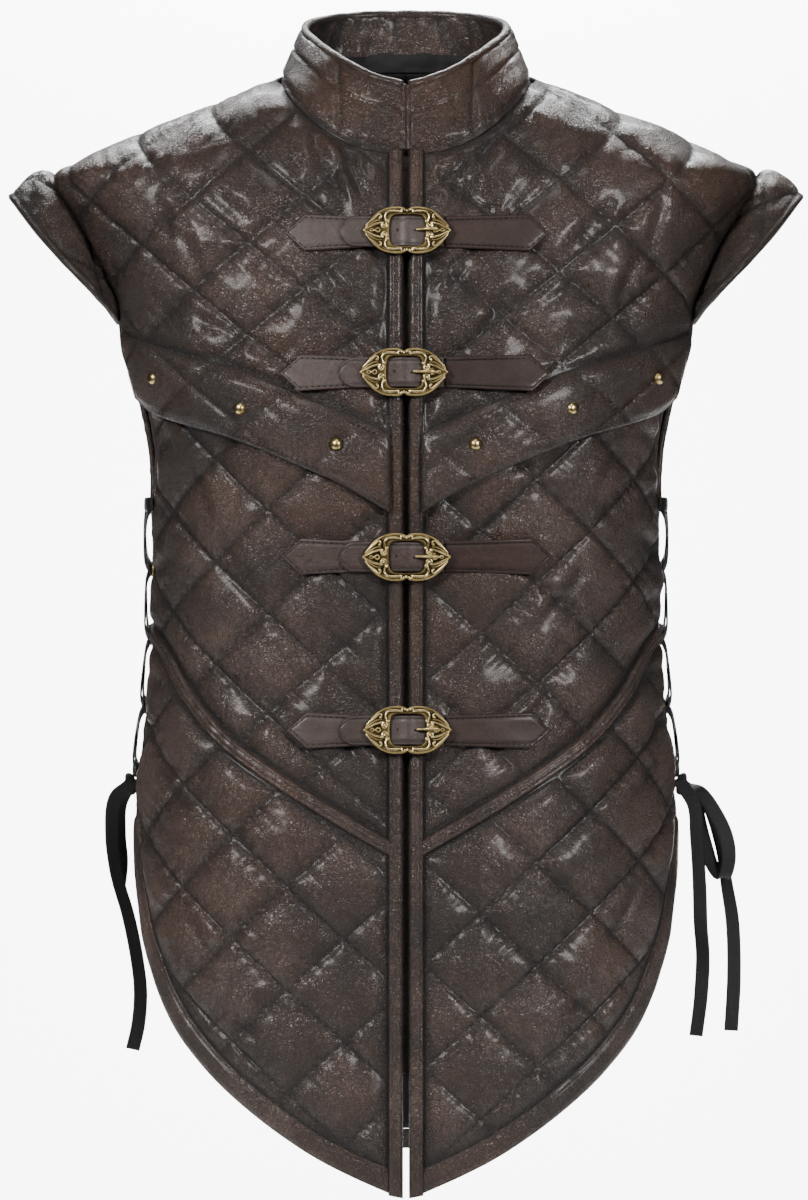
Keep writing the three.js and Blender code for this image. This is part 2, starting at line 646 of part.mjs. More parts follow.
// ---- walls over a net of points: each point of the net is a place on the inner side ----
function netWall(name, net, thickness, finish) {
  const rows = net.length;
  const columns = net[0].length;
  const within = (i, count) => Math.min(Math.max(i, 0), count - 1);
  const at = (i, j) => net[within(i, rows)][within(j, columns)];
  const points = net.flat();
  for (let i = 0; i < rows; i++) {
    for (let j = 0; j < columns; j++) {
      const across = at(i, j + 1).clone().sub(at(i, j - 1));
      const down = at(i + 1, j).clone().sub(at(i - 1, j));
      const normal = across.cross(down).normalize();
      const out = thickness(i / (rows - 1), j / (columns - 1), j);
      points.push(net[i][j].clone().addScaledVector(normal, out));
    }
  }
  const faces = [];
  const top = rows * columns;
  for (let i = 0; i < rows - 1; i++) {
    for (let j = 0; j < columns - 1; j++) {
      const a = i * columns + j;
      faces.push([a, a + 1, a + columns], [a + 1, a + columns + 1, a + columns]);
      const b = top + a;
      faces.push([b, b + columns, b + 1], [b + 1, b + columns, b + columns + 1]);
    }
  }
  const rim = [];
  for (let j = 0; j < columns - 1; j++) rim.push(j);
  for (let i = 0; i < rows - 1; i++) rim.push(i * columns + columns - 1);
  for (let j = columns - 1; j > 0; j--) rim.push((rows - 1) * columns + j);
  for (let i = rows - 1; i > 0; i--) rim.push(i * columns);
  rim.forEach((a, i) => {
    const b = rim[(i + 1) % rim.length];
    faces.push([b, a, top + a], [b, top + a, top + b]);
  });
  const geometry = geometryOf(points, faces);
  const insideOut = solidOf(geometry).volume() < 0;
  addMesh(name, insideOut ? geometryOf(points, turnedRound(faces)) : geometry, finish);
}
const smoothThrough = (points) => new THREE.CatmullRomCurve3(points, false, "centripetal");

// ---- shoulder caps ----
// Each row is a height on the armhole seam and the cap's outer edge there, front then back.
const CAP = [
  { seam: -171, x: 204, y: -43, z: -173 },
  { seam: -156, x: 213, y: -57, z: -161 },
  { seam: -138, x: 225, y: -66, z: -148 },
  { seam: -113, x: 246, y: -58, z: -126 },
  { seam: -91, x: 265, y: -38, z: -104 },
  { seam: -72, x: 279, y: -10, z: -85 },
  { seam: -72, x: 279, y: 12, z: -86 },
  { seam: -91, x: 265, y: 40, z: -105 },
  { seam: -113, x: 247, y: 58, z: -125 },
  { seam: -136, x: 229, y: 64, z: -143 },
  { seam: -154, x: 214, y: 58, z: -157 },
  { seam: -168, x: 208, y: 45, z: -166 },
];

function capPiece({ name, side }) {
  const heights = smoothThrough(CAP.map((row, i) => new THREE.Vector3(i, row.seam, 0)));
  const seamAt = (t) => {
    const z = Math.min(heights.getPoint(t).y, CAP_TOP);
    const back = t > 0.5;
    const gap = sideGap(z, back ? "back" : "front") - CAP_SEAM;
    return onForm(quarter(z) + (back ? gap : -gap), z, CAP_LOW);
  };
  const edge = smoothThrough(CAP.map((row) => new THREE.Vector3(row.x, row.y, row.z)));
  const net = steps(CAP_WIDE, (s) =>
    steps(CAP_LONG, (t) => {
      const a = seamAt(t);
      const b = edge.getPoint(t);
      const p = a.lerp(b, s);
      p.z += CAP_CROWN * Math.sin(Math.PI * s ** CAP_SKEW) * Math.sin(Math.PI * t); // it rounds over
      p.x *= side;
      return p;
    }),
  );
  const thickness = (s, t, j) => {
    const fromSides = rise(Math.min(s, 1 - s) / CAP_PUFF.wide);
    const fromEnds = rise(Math.min(t, 1 - t) / CAP_PUFF.long);
    const pinch = j % SEAM_EVERY === 0 ? CAP_PUFF.stitched : 1;
    return WALL + CAP_PUFF.high * fromSides * fromEnds * pinch;
  };
  netWall(`cap_${name}`, side > 0 ? net : net.map((row) => [...row].reverse()), thickness, LEATHER);
}

// ---- stand collar ----
// Each row is a place on the collar's base seam, by its x and z on the form, and the rim
// above it, from the front opening round to the centre back.
const COLLAR = [
  { x: 3, z: -52.5, rimX: 2.5, rimY: -81, rimZ: -6 },
  { x: 26, z: -49.5, rimX: 25, rimY: -75, rimZ: 1 },
  { x: 48, z: -40.5, rimX: 46, rimY: -58, rimZ: 13 },
  { x: 68, z: -25, rimX: 62, rimY: -34, rimZ: 25 },
  { x: 83, z: -5, rimX: 70, rimY: -6, rimZ: 35 },
];
const COLLAR_BACK = [
  { share: 0.75, z: 6, rimX: 66, rimY: 24, rimZ: 43 },
  { share: 0.5, z: 9, rimX: 48, rimY: 44, rimZ: 48 },
  { share: 0.25, z: 11, rimX: 24, rimY: 54, rimZ: 50.5 },
  { share: 0, z: 11.5, rimX: 0, rimY: 57, rimZ: 51 },
];

function collarPiece() {
  const front = COLLAR.map((row) => onForm(reachOf(row.x, row.z), row.z, 1));
  const back = COLLAR_BACK.map(({ share, z }) => onForm(mix(half(z), quarter(z), share), z, 1));
  const base = smoothThrough([...front, ...back].map((p) => p.setZ(p.z + 1)));
  const rims = [...COLLAR, ...COLLAR_BACK];
  const rim = smoothThrough(rims.map((row) => new THREE.Vector3(row.rimX, row.rimY, row.rimZ)));
  const net = steps(COLLAR_HIGH, (s) => {
    const right = steps(COLLAR_HALF, (t) => base.getPoint(t).lerp(rim.getPoint(t), s));
    const left = right.slice(0, -1).map((p) => new THREE.Vector3(-p.x, p.y, p.z));
    return [...left, ...right.reverse()];
  });
  const thickness = (s, t, j) => {
    const row = Math.round(s * COLLAR_HIGH);
    const stitched = row === COLLAR_HIGH / 2 || j % SEAM_EVERY === 0;
    if (stitched) return WALL;
    return row === COLLAR_HIGH ? COLLAR_WALL.rim : COLLAR_WALL.padded;
  };
  netWall("collar", net, thickness, LEATHER);
}

// ---- straps and buckles ----
// Each row of straps: its height, the tips of its tabs, its buckle's middle, and how far it
// sinks between the diamonds that it lies across.
const ROWS = [
  { z: -111.5, left: -84, right: 99, buckle: 0.7, sink: 0 },
  { z: -208, left: -86, right: 99, buckle: -1.4, sink: 0 },
  { z: -336, left: -86, right: 101, buckle: 0.3, sink: 0.8 },
  { z: -459, left: -82, right: 100, buckle: 1, sink: 0 },
];

// Leather that lies on the front, whatever quilting or band is under it.
function overlay(u, z) {
  const onYoke = distanceTo(yokeEdge, Math.abs(u), z) < 80 && z > -300;
  return OVERLAY + (onYoke ? yokeLift(u, z) : 0);
}
function strapPiece(name, outline, level) {
  const net = squareNet(outline[0].u, outline[0].z, 16, 14);
  const low = (u, z) => overlay(u, z) + level;
  const high = (u, z) => overlay(u, z) + level + STRAP;
  strip(name, outline, net, low, high, onForm, false, STRAP_LEATHER);
}
function arrowTab(tip, end, z) {
  const way = Math.sign(end - tip);
  return [
    { u: tip, z },
    { u: tip + way * TAB.arrow, z: z - way * TAB.shoulder },
    { u: end, z: z - way * TAB.throat },
    { u: end, z: z + way * TAB.throat },
    { u: tip + way * TAB.arrow, z: z + way * TAB.shoulder },
  ];
}
function tongueOutline(z, from, to) {
  const r = TONGUE.halfWidth;
  const roundEnd = steps(6, (t) => ({
    u: from + r - r * Math.sin(Math.PI * t),
    z: z + r * Math.cos(Math.PI * t),
  }));
  return [...roundEnd, { u: to, z: z - r }, { u: to, z: z + r }];
}
// The buckle's plate: lobes above and below that meet in a notch, and a pointed leaf each end.
function bucklePlate() {
  const toPoints = (corners) => corners.map(([x, y]) => new THREE.Vector2(x, y));
  const toLeft = PLATE_EDGE.slice(0, -1).reverse().map(([x, y]) => [-x, y]);
  const upper = [...PLATE_EDGE, ...toLeft];
  const lower = upper.slice(1, -1).reverse().map(([x, y]) => [x, -y]);
  const plate = new THREE.Shape(toPoints([...upper, ...lower]));
  const { left, right, high, corner } = WINDOW;
  const corners = [
    [left, corner - high],
    [left, high - corner],
    [left + corner, high],
    [right - corner, high],
    [right, high - corner],
    [right, corner - high],
    [right - corner, -high],
    [left + corner, -high],
  ];
  plate.holes.push(new THREE.Path(toPoints(corners)));
  const bevel = { bevelThickness: BEVEL, bevelSize: BEVEL, bevelOffset: -BEVEL, bevelSegments: 1 };
  return new THREE.ExtrudeGeometry(plate, { depth: BUCKLE_WALL - 2 * BEVEL, ...bevel });
}
// The seat of a buckle on the front: flat, level across, square to the front at height z.
function seatOf(u, z, out) {
  const across = new THREE.Vector3(1, 0, 0);
  const facing = formNormal(0, z);
  const flat = new THREE.Matrix4().makeBasis(across, facing.clone().cross(across), facing);
  const at = onForm(u, z, out);
  return flat.setPosition(at.x, at.y, at.z);
}
function buckleRow(row, index) {
  const label = `row${index + 1}`;
  const { z } = row;
  const tongueLevel = STRAP + STRAP_GAP - row.sink;
  strapPiece(`${label}_tab_right`, arrowTab(row.left, TAB.innerLeft, z), -row.sink);
  strapPiece(`${label}_tab_left`, arrowTab(row.right, TAB.innerRight + SEAM, z), -row.sink);
  strapPiece(`${label}_tongue`, tongueOutline(z, TONGUE.from, TONGUE.to), tongueLevel);
  const level = overlay(row.buckle, z) + tongueLevel + STRAP + STRAP_GAP;
  const plate = bucklePlate();
  plate.translate(0, 0, BEVEL);
  plate.applyMatrix4(seatOf(row.buckle, z, level));
  addMesh(`${label}_buckle`, plate, BRASS);
  const path = new THREE.CatmullRomCurve3([
    new THREE.Vector3(PRONG.root, PRONG.rise, BUCKLE_WALL + PRONG.radius + SEAM),
    new THREE.Vector3(PRONG.bend, PRONG.rise, BUCKLE_WALL + PRONG.radius + SEAM),
    new THREE.Vector3(PRONG.tip, PRONG.rise, PRONG.radius + SEAM),
  ]);
  const section = new THREE.Shape(ringOf(6, PRONG.radius, PRONG.radius));
  const prong = new THREE.ExtrudeGeometry(section, { extrudePath: path, steps: 6 });
  prong.applyMatrix4(seatOf(row.buckle, z, level));
  addMesh(`${label}_prong`, prong, BRASS);
}
const ringOf = (count, wide, high) =>
  Array.from({ length: count }, (_, i) => {
    const turn = (2 * Math.PI * i) / count;
    return new THREE.Vector2(wide * Math.cos(turn), high * Math.sin(turn));
  });

// ---- rivets ----
const RIVETS = [
  { x: 47, z: -257.5, sink: 0 },
  { x: 111, z: -232, sink: 0 },
  { x: 168, z: -209, sink: 0.8 },
];
function rivetPieces({ name, side }) {
  RIVETS.forEach((spot, i) => {
    const u = reachOf(spot.x, spot.z);
    const out = yokeLift(u, spot.z) + WALL + 3 + SEAM - spot.sink;
    const profile = steps(2, (t) => {
      const turn = (Math.PI / 2) * t;
      return new THREE.Vector2(RIVET.radius * Math.cos(turn), RIVET.height * Math.sin(turn));
    });
    const dome = new THREE.LatheGeometry([new THREE.Vector2(0, 0), ...profile], 10);
    dome.rotateX(Math.PI / 2);
    const normal = formNormal(side * u, spot.z);
    const turned = new THREE.Quaternion().setFromUnitVectors(new THREE.Vector3(0, 0, 1), normal);
    dome.applyQuaternion(turned);
    const at = onForm(side * u, spot.z, out);
    dome.translate(at.x, at.y, at.z);
    addMesh(`rivet_${name}_${i + 1}`, dome, BRASS);
  });
}

// ---- side lacing ----
const EYELETS = [-299, -345, -394, -443, -488]; // heights of the holes along each side edge
// A flat tape through the points. Its width lies along `wide`, square to its run.
function flatTape(points, count, wide, sides = 6) {
  const path = smoothThrough(points);
  const rings = steps(count, (t) => {
    const at = path.getPointAt(t);
    const run = path.getTangentAt(t);
    const across = wide(t).clone().addScaledVector(run, -wide(t).dot(run)).normalize();
    const out = run.clone().cross(across).normalize();
    return ringOf(sides, LACE.width / 2, LACE.thick / 2).map((p) =>
      at.clone().addScaledVector(across, p.x).addScaledVector(out, p.y),
    );
  });
  const points3 = rings.flat();
  const faces = [];
  for (let i = 0; i < count; i++) {
    for (let k = 0; k < sides; k++) {
      const a = i * sides + k;
      const b = i * sides + ((k + 1) % sides);
      faces.push([a, b, a + sides], [b, b + sides, a + sides]);
    }
  }
  for (let k = 1; k < sides - 1; k++) {
    const end = count * sides;
    faces.push([0, k + 1, k], [end, end + k, end + k + 1]);
  }
  const geometry = geometryOf(points3, faces);
  return solidOf(geometry).volume() > 0 ? geometry : geometryOf(points3, turnedRound(faces));
}
function lacingPiece({ name, side }) {
  const ends = (z, key) => {
    const gap = sideGap(z, key) + LACE.inset;
    return quarter(z) + (key === "front" ? -gap : gap);
  };
  const cross = (fromZ, toZ, fromKey, toKey, out) => {
    const points = steps(4, (t) => {
      const z = mix(fromZ, toZ, t);
      const u = mix(ends(fromZ, fromKey), ends(toZ, toKey), t);
      const p = onForm(u, z, out);
      p.x *= side;
      return p;
    });
    const outward = new THREE.Vector3(side, 0, 0);
    const run = points.at(-1).clone().sub(points[0]);
    const wide = run.cross(outward).normalize();
    return solidOf(flatTape(points, 3, () => wide, 4));
  };
  let net = cross(EYELETS[0], EYELETS[0], "front", "back", LACE.out);
  for (let i = 0; i < EYELETS.length - 1; i++) {
    net = net.add(cross(EYELETS[i], EYELETS[i + 1], "front", "back", LACE.out));
    net = net.add(cross(EYELETS[i], EYELETS[i + 1], "back", "front", LACE.out + 0.5));
  }
  const last = EYELETS.at(-1);
  net = net.add(cross(last, last, "front", "back", LACE.out));
  const { points, faces } = pointsOf(net);
  addMesh(`lacing_${name}`, geometryOf(points, faces), TAPE);
}

// The lace's loose ends and loop, each a route from the tie at the foot of the lacing.
const LACE_ROUTES = {
  lace_end_right_long: [
    [-193.4, -7, -493.4], [-196, -7, -498], [-206, -6, -507], [-209, -4, -533],
    [-206, -2, -560], [-197, 0, -592], [-191, 1, -622], [-188.5, 0, -645],
    [-190, -1, -668], [-194, -1, -686],
  ],
  lace_end_right_short: [
    [-193.4, 7, -493.4], [-195.5, 7, -498], [-203, 10, -512], [-203.5, 11, -534],
    [-202, 11, -552], [-204, 10, -571],
  ],
  lace_loop_left: [
    [193.4, -1, -493.4], [196, -1, -498], [208, -3, -503], [220, -4, -519],
    [227.5, -5, -536], [229, -4, -552], [225, 0, -564], [218, 4, -556],
    [213, 5, -541], [208.5, 5, -524], [206, 5, -509],
  ],
  lace_end_left_long: [
    [193.3, 10, -493.4], [196, 10, -498], [212, 14, -510], [223, 14, -540],
    [228, 12, -570], [232, 10, -596], [233, 9, -636], [231, 8, -673],
  ],
  lace_end_left_short: [
    [193.3, -11, -493.4], [195.5, -11, -498], [204, -12, -512], [206, -12, -536],
    [208, -11, -570], [209, -10, -598], [210.5, -9, -619], [209, -9, -648],
    [205.5, -9, -676],
  ],
};
function laceEnds() {
  Object.entries(LACE_ROUTES).forEach(([name, route]) => {
    const points = route.map(([x, y, z]) => new THREE.Vector3(x, y, z));
    const wide = new THREE.Vector3(1, 0.25, 0);
    addMesh(name, flatTape(points, Math.round(LACE_SPANS * points.length), () => wide), TAPE);
  });
}

SIDES.forEach(frontPieces);
SIDES.forEach(edgePieces);
backPieces();
SIDES.forEach(capPiece);
collarPiece();
ROWS.forEach(buckleRow);
SIDES.forEach(rivetPieces);
SIDES.forEach(lacingPiece);
laceEnds();

export default group;
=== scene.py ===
# A quilted leather vest with a stand collar, winged shoulders, four buckle straps and laced
# sides. Lengths in the patterns are millimetres and everything that Blender gets is metres.
import math
import bmesh
import bpy
import numpy as np
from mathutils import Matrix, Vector


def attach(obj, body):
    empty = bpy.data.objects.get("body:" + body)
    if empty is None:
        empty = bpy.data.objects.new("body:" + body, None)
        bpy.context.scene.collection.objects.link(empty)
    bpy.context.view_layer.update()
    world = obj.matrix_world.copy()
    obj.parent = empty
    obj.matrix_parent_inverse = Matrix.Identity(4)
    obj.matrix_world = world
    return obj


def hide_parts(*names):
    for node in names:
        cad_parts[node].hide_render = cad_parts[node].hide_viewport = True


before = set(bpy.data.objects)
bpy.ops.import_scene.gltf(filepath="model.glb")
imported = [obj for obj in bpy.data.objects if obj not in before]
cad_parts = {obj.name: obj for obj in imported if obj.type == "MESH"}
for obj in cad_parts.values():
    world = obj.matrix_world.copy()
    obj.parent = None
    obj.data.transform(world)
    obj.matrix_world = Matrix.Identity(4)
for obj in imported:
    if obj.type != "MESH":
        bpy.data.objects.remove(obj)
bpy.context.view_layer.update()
mm = 0.001


# the view from the front, level with the middle of the vest
view = {"x": -1.4, "y": -8000, "z": -367, "height": 840, "film": 36, "chest": -110}
bpy.ops.object.camera_add(location=(view["x"] * mm, view["y"] * mm, view["z"] * mm),
                          rotation=(math.pi / 2, 0, 0))
camera = bpy.context.object
camera.name = "camera"
camera.data.lens = view["film"] * (view["chest"] - view["y"]) / view["height"]
camera.data.clip_end = 30
bpy.context.scene.camera = camera


sides = ((1, "left"), (-1, "right"))


# a smooth line through the given points, with that many steps between each two
def throughPoints(points, steps):
    p = np.asarray(points, float)
    p = np.vstack([2 * p[0] - p[1], p, 2 * p[-1] - p[-2]])
    parts = []
    for i in range(1, len(p) - 2):
        gaps = [max(np.linalg.norm(p[i + k] - p[i + k - 1]) ** 0.5, 1e-4) for k in (0, 1, 2)]
        t0, t1 = 0.0, gaps[0]
        t2, t3 = t1 + gaps[1], t1 + gaps[1] + gaps[2]
        t = np.linspace(t1, t2, steps, endpoint=False)[:, None]
        a = ((t1 - t) * p[i - 1] + (t - t0) * p[i]) / (t1 - t0)
        b = ((t2 - t) * p[i] + (t - t1) * p[i + 1]) / (t2 - t1)
        c = ((t3 - t) * p[i + 1] + (t - t2) * p[i + 2]) / (t3 - t2)
        d = ((t2 - t) * a + (t - t0) * b) / (t2 - t0)
        e = ((t3 - t) * b + (t - t1) * c) / (t3 - t1)
        parts.append(((t2 - t) * d + (t - t1) * e) / (t2 - t1))
    parts.append(p[-2][None])
    return np.vstack(parts)


# even points on a smooth line through the given ones
def smoothLine(points, count):
    return evenly(throughPoints(points, 24), count)


# the same line with that many points, evenly along it
def evenly(line, count):
    line = np.asarray(line, float)
    run = np.concatenate([[0], np.cumsum(np.linalg.norm(np.diff(line, axis=0), axis=1))])
    at = np.linspace(0, run[-1], count)
    return np.stack([np.interp(at, run, line[:, k]) for k in range(line.shape[1])], axis=1)


def lengthOf(line):
    return float(np.linalg.norm(np.diff(np.asarray(line, float), axis=0), axis=1).sum())


# a mesh object from points in millimetres; the faces of a closed one are turned outward
def addPiece(name, points, faces, materials, slot=None, node=None, kinds=None, crest=None, smooth=True,
             closed=True):
    mesh = bpy.data.meshes.new(name)
    faces = faces.tolist() if isinstance(faces, np.ndarray) else faces
    mesh.from_pydata(np.asarray(points, float) * mm, [], faces)
    for material in materials:
        mesh.materials.append(material)
    if kinds is not None:
        mesh.polygons.foreach_set("material_index", np.asarray(kinds, np.int32))
    mesh.polygons.foreach_set("use_smooth", np.full(len(mesh.polygons), smooth))
    if slot and closed:
        work = bmesh.new()
        work.from_mesh(mesh)
        bmesh.ops.recalc_face_normals(work, faces=work.faces)
        work.to_mesh(mesh)
        work.free()
    if crest is not None:
        layer = mesh.attributes.new("crest", "FLOAT", "POINT")
        layer.data.foreach_set("value", np.full(len(points), crest, np.float32))
    mesh.update()
    piece = bpy.data.objects.new(name, mesh)
    bpy.context.collection.objects.link(piece)
    if slot:
        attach(piece, "root")
    if node:
        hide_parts(node)
    return piece


def gridFaces(rows, columns, start=0, turned=False, closed=False):
    i, j = np.meshgrid(np.arange(rows - 1), np.arange(columns if closed else columns - 1), indexing="ij")
    a = start + i * columns + j
    right = start + i * columns + (j + 1) % columns
    quads = np.stack([a, a + columns, right + columns, right], axis=-1).reshape(-1, 4)
    return quads[:, ::-1] if turned else quads


# points and faces of a closed wall between two grids; the faces of the inner one come last
def shell(outer, inner, turned):
    rows, columns = outer.shape[:2]
    size = rows * columns
    points = np.concatenate([outer.reshape(-1, 3), inner.reshape(-1, 3)])
    rim = np.concatenate([np.arange(columns - 1), np.arange(rows - 1) * columns + columns - 1,
                          size - 1 - np.arange(columns - 1), np.arange(rows - 1, 0, -1) * columns])
    after = np.roll(rim, -1)
    band = np.stack([rim, after, after + size, rim + size], axis=-1)
    if turned:
        band = band[:, ::-1]
    outside = gridFaces(rows, columns, 0, turned)
    inside = gridFaces(rows, columns, size, not turned)
    return points, np.concatenate([outside, band, inside]), len(outside) + len(band)


# a round or flattened tube along a line; radius may change along it
def tube(line, radius, sides=8, wide=None, flat=1.0, closed=False):
    line = np.asarray(line, float)
    count = len(line)
    if closed:
        run = np.roll(line, -1, axis=0) - np.roll(line, 1, axis=0)
    else:
        run = np.gradient(line, axis=0)
    run /= np.linalg.norm(run, axis=1)[:, None]
    start = np.array(wide if wide is not None else (0.0, 0.0, 1.0), float)
    across = np.broadcast_to(start, line.shape) if start.ndim == 1 else start
    across = across - (across * run).sum(axis=1)[:, None] * run
    across = across / np.maximum(np.linalg.norm(across, axis=1)[:, None], 1e-9)
    out = np.cross(run, across)
    turn = 2 * np.pi * np.arange(sides) / sides
    r = np.broadcast_to(np.asarray(radius, float), (count,))[:, None, None]
    rings = line[:, None] + r * (np.cos(turn)[None, :, None] * across[:, None]
                                 + flat * np.sin(turn)[None, :, None] * out[:, None])
    faces = gridFaces(count + (1 if closed else 0), sides, closed=True, turned=True) % (count * sides)
    faces = faces.tolist()
    if not closed:
        faces.append(list(range(sides))[::-1])
        faces.append([(count - 1) * sides + k for k in range(sides)])
    return rings.reshape(-1, 3), faces


# several (points, faces) as one
def joined(parts):
    points, faces, start = [], [], 0
    for p, f in parts:
        points.append(np.asarray(p, float))
        f = f.tolist() if isinstance(f, np.ndarray) else f
        faces.extend([[start + k for k in face] for face in f])
        start += len(p)
    return np.concatenate(points), faces


# a steady number from 0 to 1 for each whole number
def hashed(i, seed=0):
    v = np.sin(np.asarray(i, float) * 127.1 + seed * 311.7) * 43758.5453
    return v - np.floor(v)


# smooth uneven waves along a line, from -1 to 1
def wave(x, seed=0):
    i = np.floor(x)
    t = x - i
    t = t * t * (3 - 2 * t)
    return 2 * (hashed(i, seed) * (1 - t) + hashed(i + 1, seed) * t) - 1


# smooth uneven patches over a plane, from -1 to 1
def clouds(x, y, seed=0):
    i, j = np.floor(x), np.floor(y)
    s, t = x - i, y - j
    s, t = s * s * (3 - 2 * s), t * t * (3 - 2 * t)
    at = lambda a, b: hashed(a * 57.0 + b * 131.0, seed)
    low = at(i, j) * (1 - s) + at(i + 1, j) * s
    high = at(i, j + 1) * (1 - s) + at(i + 1, j + 1) * s
    return 2 * (low * (1 - t) + high * t) - 1


def rise(t):
    s = np.clip(t, 0, 1)
    return s * (2 - s)


def ease(t):
    s = np.clip(t, 0, 1)
    return s * s * (3 - 2 * s)


# a flat tape along a line: its width lies along wides, its edges are rounded
def flatTape(line, wides, width=10.0, thick=1.3):
    line = np.asarray(line, float)
    run = np.gradient(line, axis=0)
    run /= np.linalg.norm(run, axis=1)[:, None]
    across = np.broadcast_to(np.asarray(wides, float), line.shape)
    across = across - (across * run).sum(axis=1)[:, None] * run
    across /= np.linalg.norm(across, axis=1)[:, None]
    out = np.cross(run, across)
    turn = 2 * np.pi * np.arange(16) / 16
    flatX = np.sign(np.cos(turn)) * np.abs(np.cos(turn)) ** 0.75
    flatY = np.sign(np.sin(turn)) * np.abs(np.sin(turn)) ** 0.6
    curl = 0.35 * flatX ** 2
    rings = line[:, None] + width / 2 * flatX[None, :, None] * across[:, None] \
        + (thick / 2 * flatY + curl)[None, :, None] * out[:, None]
    count = len(line)
    faces = gridFaces(count, 16, closed=True, turned=True).tolist()
    faces += [list(range(16))[::-1], [(count - 1) * 16 + k for k in range(16)]]
    return rings.reshape(-1, 3), faces


# the lace's loose ends and loop: each route from the tie at the foot of the lacing
laceRoutes = {
    "lace_end_right_long": [(-193.4, -7, -493.4), (-196, -7, -498), (-206, -6, -507), (-209, -4, -533),
                            (-206, -2, -560), (-197, 0, -592), (-191, 1, -622), (-188.5, 0, -645),
                            (-190, -1, -668), (-194, -1, -686)],
    "lace_end_right_short": [(-193.4, 7, -493.4), (-195.5, 7, -498), (-203, 10, -512), (-203.5, 11, -534),
                             (-202, 11, -552), (-204, 10, -571)],
    "lace_loop_left": [(193.4, -1, -493.4), (196, -1, -498), (208, -3, -503), (220, -4, -519),
                       (227.5, -5, -536), (229, -4, -552), (225, 0, -564), (218, 4, -556),
                       (213, 5, -541), (208.5, 5, -524), (206, 5, -509)],
    "lace_end_left_long": [(193.3, 10, -493.4), (196, 10, -498), (212, 14, -510), (223, 14, -540),
                           (228, 12, -570), (232, 10, -596), (233, 9, -636), (231, 8, -673)],
    "lace_end_left_short": [(193.3, -11, -493.4), (195.5, -11, -498), (204, -12, -512), (206, -12, -536),
                            (208, -11, -570), (209, -10, -598), (210.5, -9, -619), (209, -9, -648),
                            (205.5, -9, -676)],
}
laceEnds = []
for number, (node, route) in enumerate(laceRoutes.items()):
    count = int(lengthOf(route) / 2.2)
    line = smoothLine(route, count)
    run = np.linspace(0, 1, count)
    twist = 0.5 * wave(run * 3.1 + number, 7 + number) * rise(run / 0.2)
    wides = np.stack([np.cos(twist), 0.25 + np.sin(twist), 0 * twist], axis=1)
    points, faces = flatTape(line, wides)
    piece = addPiece(node.replace("lace", "tape"), points, faces, [], "tape", node)
    laceEnds.append(piece)
print("lace ends made")


# the form that the vest keeps: height, half width, depth in front and behind
formRows = [
    (60, 30, 24, 30), (20, 60, 47, 52), (2, 88, 60, 66), (-9, 111, 68, 78), (-17, 131, 73, 86),
    (-26, 153, 79, 93), (-34, 174, 83, 98), (-42, 193, 87, 102), (-51, 211, 91, 106), (-60, 232, 95, 109),
    (-68, 246, 98, 111), (-91, 238, 106, 115), (-113, 227, 111, 117), (-138, 216, 115, 118),
    (-176, 203, 119, 118), (-214, 192, 120, 116), (-265, 181, 119, 111), (-330, 178, 114, 104),
    (-400, 178, 110, 101), (-437, 181, 111, 104), (-490, 187, 115, 112), (-560, 191, 119, 119),
    (-680, 195, 123, 123), (-840, 198, 126, 126),
]
roundness = 0.88
ringSteps = 480


def ringAt(z):
    rows = formRows
    at = next((i for i, r in enumerate(rows) if r[0] <= z), len(rows) - 1)
    at = min(max(at, 1), len(rows) - 1)
    b, c = rows[at - 1], rows[at]
    a = rows[at - 2] if at > 1 else None
    d = rows[at + 1] if at + 1 < len(rows) else None
    run = c[0] - b[0]
    t = (z - b[0]) / run
    sizes = []
    for k in (1, 2, 3):
        slope = (c[k] - b[k]) / run
        before = (c[k] - a[k]) / (c[0] - a[0]) if a else slope
        after = (d[k] - b[k]) / (d[0] - b[0]) if d else slope
        h = (1 + 2 * t) * (1 - t) ** 2 * b[k] + t * t * (3 - 2 * t) * c[k]
        sizes.append(h + run * (t * (1 - t) ** 2 * before + t * t * (t - 1) * after))
    return sizes


tableTop, tableEnd = 70.0, -861.0
turnSteps = 193
tableHeights = np.arange(tableTop, tableEnd, -1.0)
ringTable = np.zeros((len(tableHeights), ringSteps + 1, 2))
quarterTable = np.zeros(len(tableHeights))
halfTable = np.zeros(len(tableHeights))
ringTurns = np.linspace(0, np.pi, turnSteps)
for rowIndex, height in enumerate(tableHeights):
    width, front, back = ringAt(height)
    sine = np.maximum(np.sin(ringTurns), 0) ** roundness
    cosine = np.cos(ringTurns)
    depth = np.where(cosine > 0, front, back)
    ring = np.stack([width * sine, -depth * np.sign(cosine) * np.abs(cosine) ** roundness], axis=1)
    run = np.concatenate([[0], np.cumsum(np.linalg.norm(np.diff(ring, axis=0), axis=1))])
    quarterTable[rowIndex] = run[turnSteps // 2]
    halfTable[rowIndex] = run[-1]
    steps = np.linspace(0, run[-1], ringSteps + 1)
    ringTable[rowIndex, :, 0] = np.interp(steps, run, ring[:, 0])
    ringTable[rowIndex, :, 1] = np.interp(steps, run, ring[:, 1])


def quarter(z):
    return np.interp(-np.asarray(z, float), -tableHeights, quarterTable)


def half(z):
    return np.interp(-np.asarray(z, float), -tableHeights, halfTable)


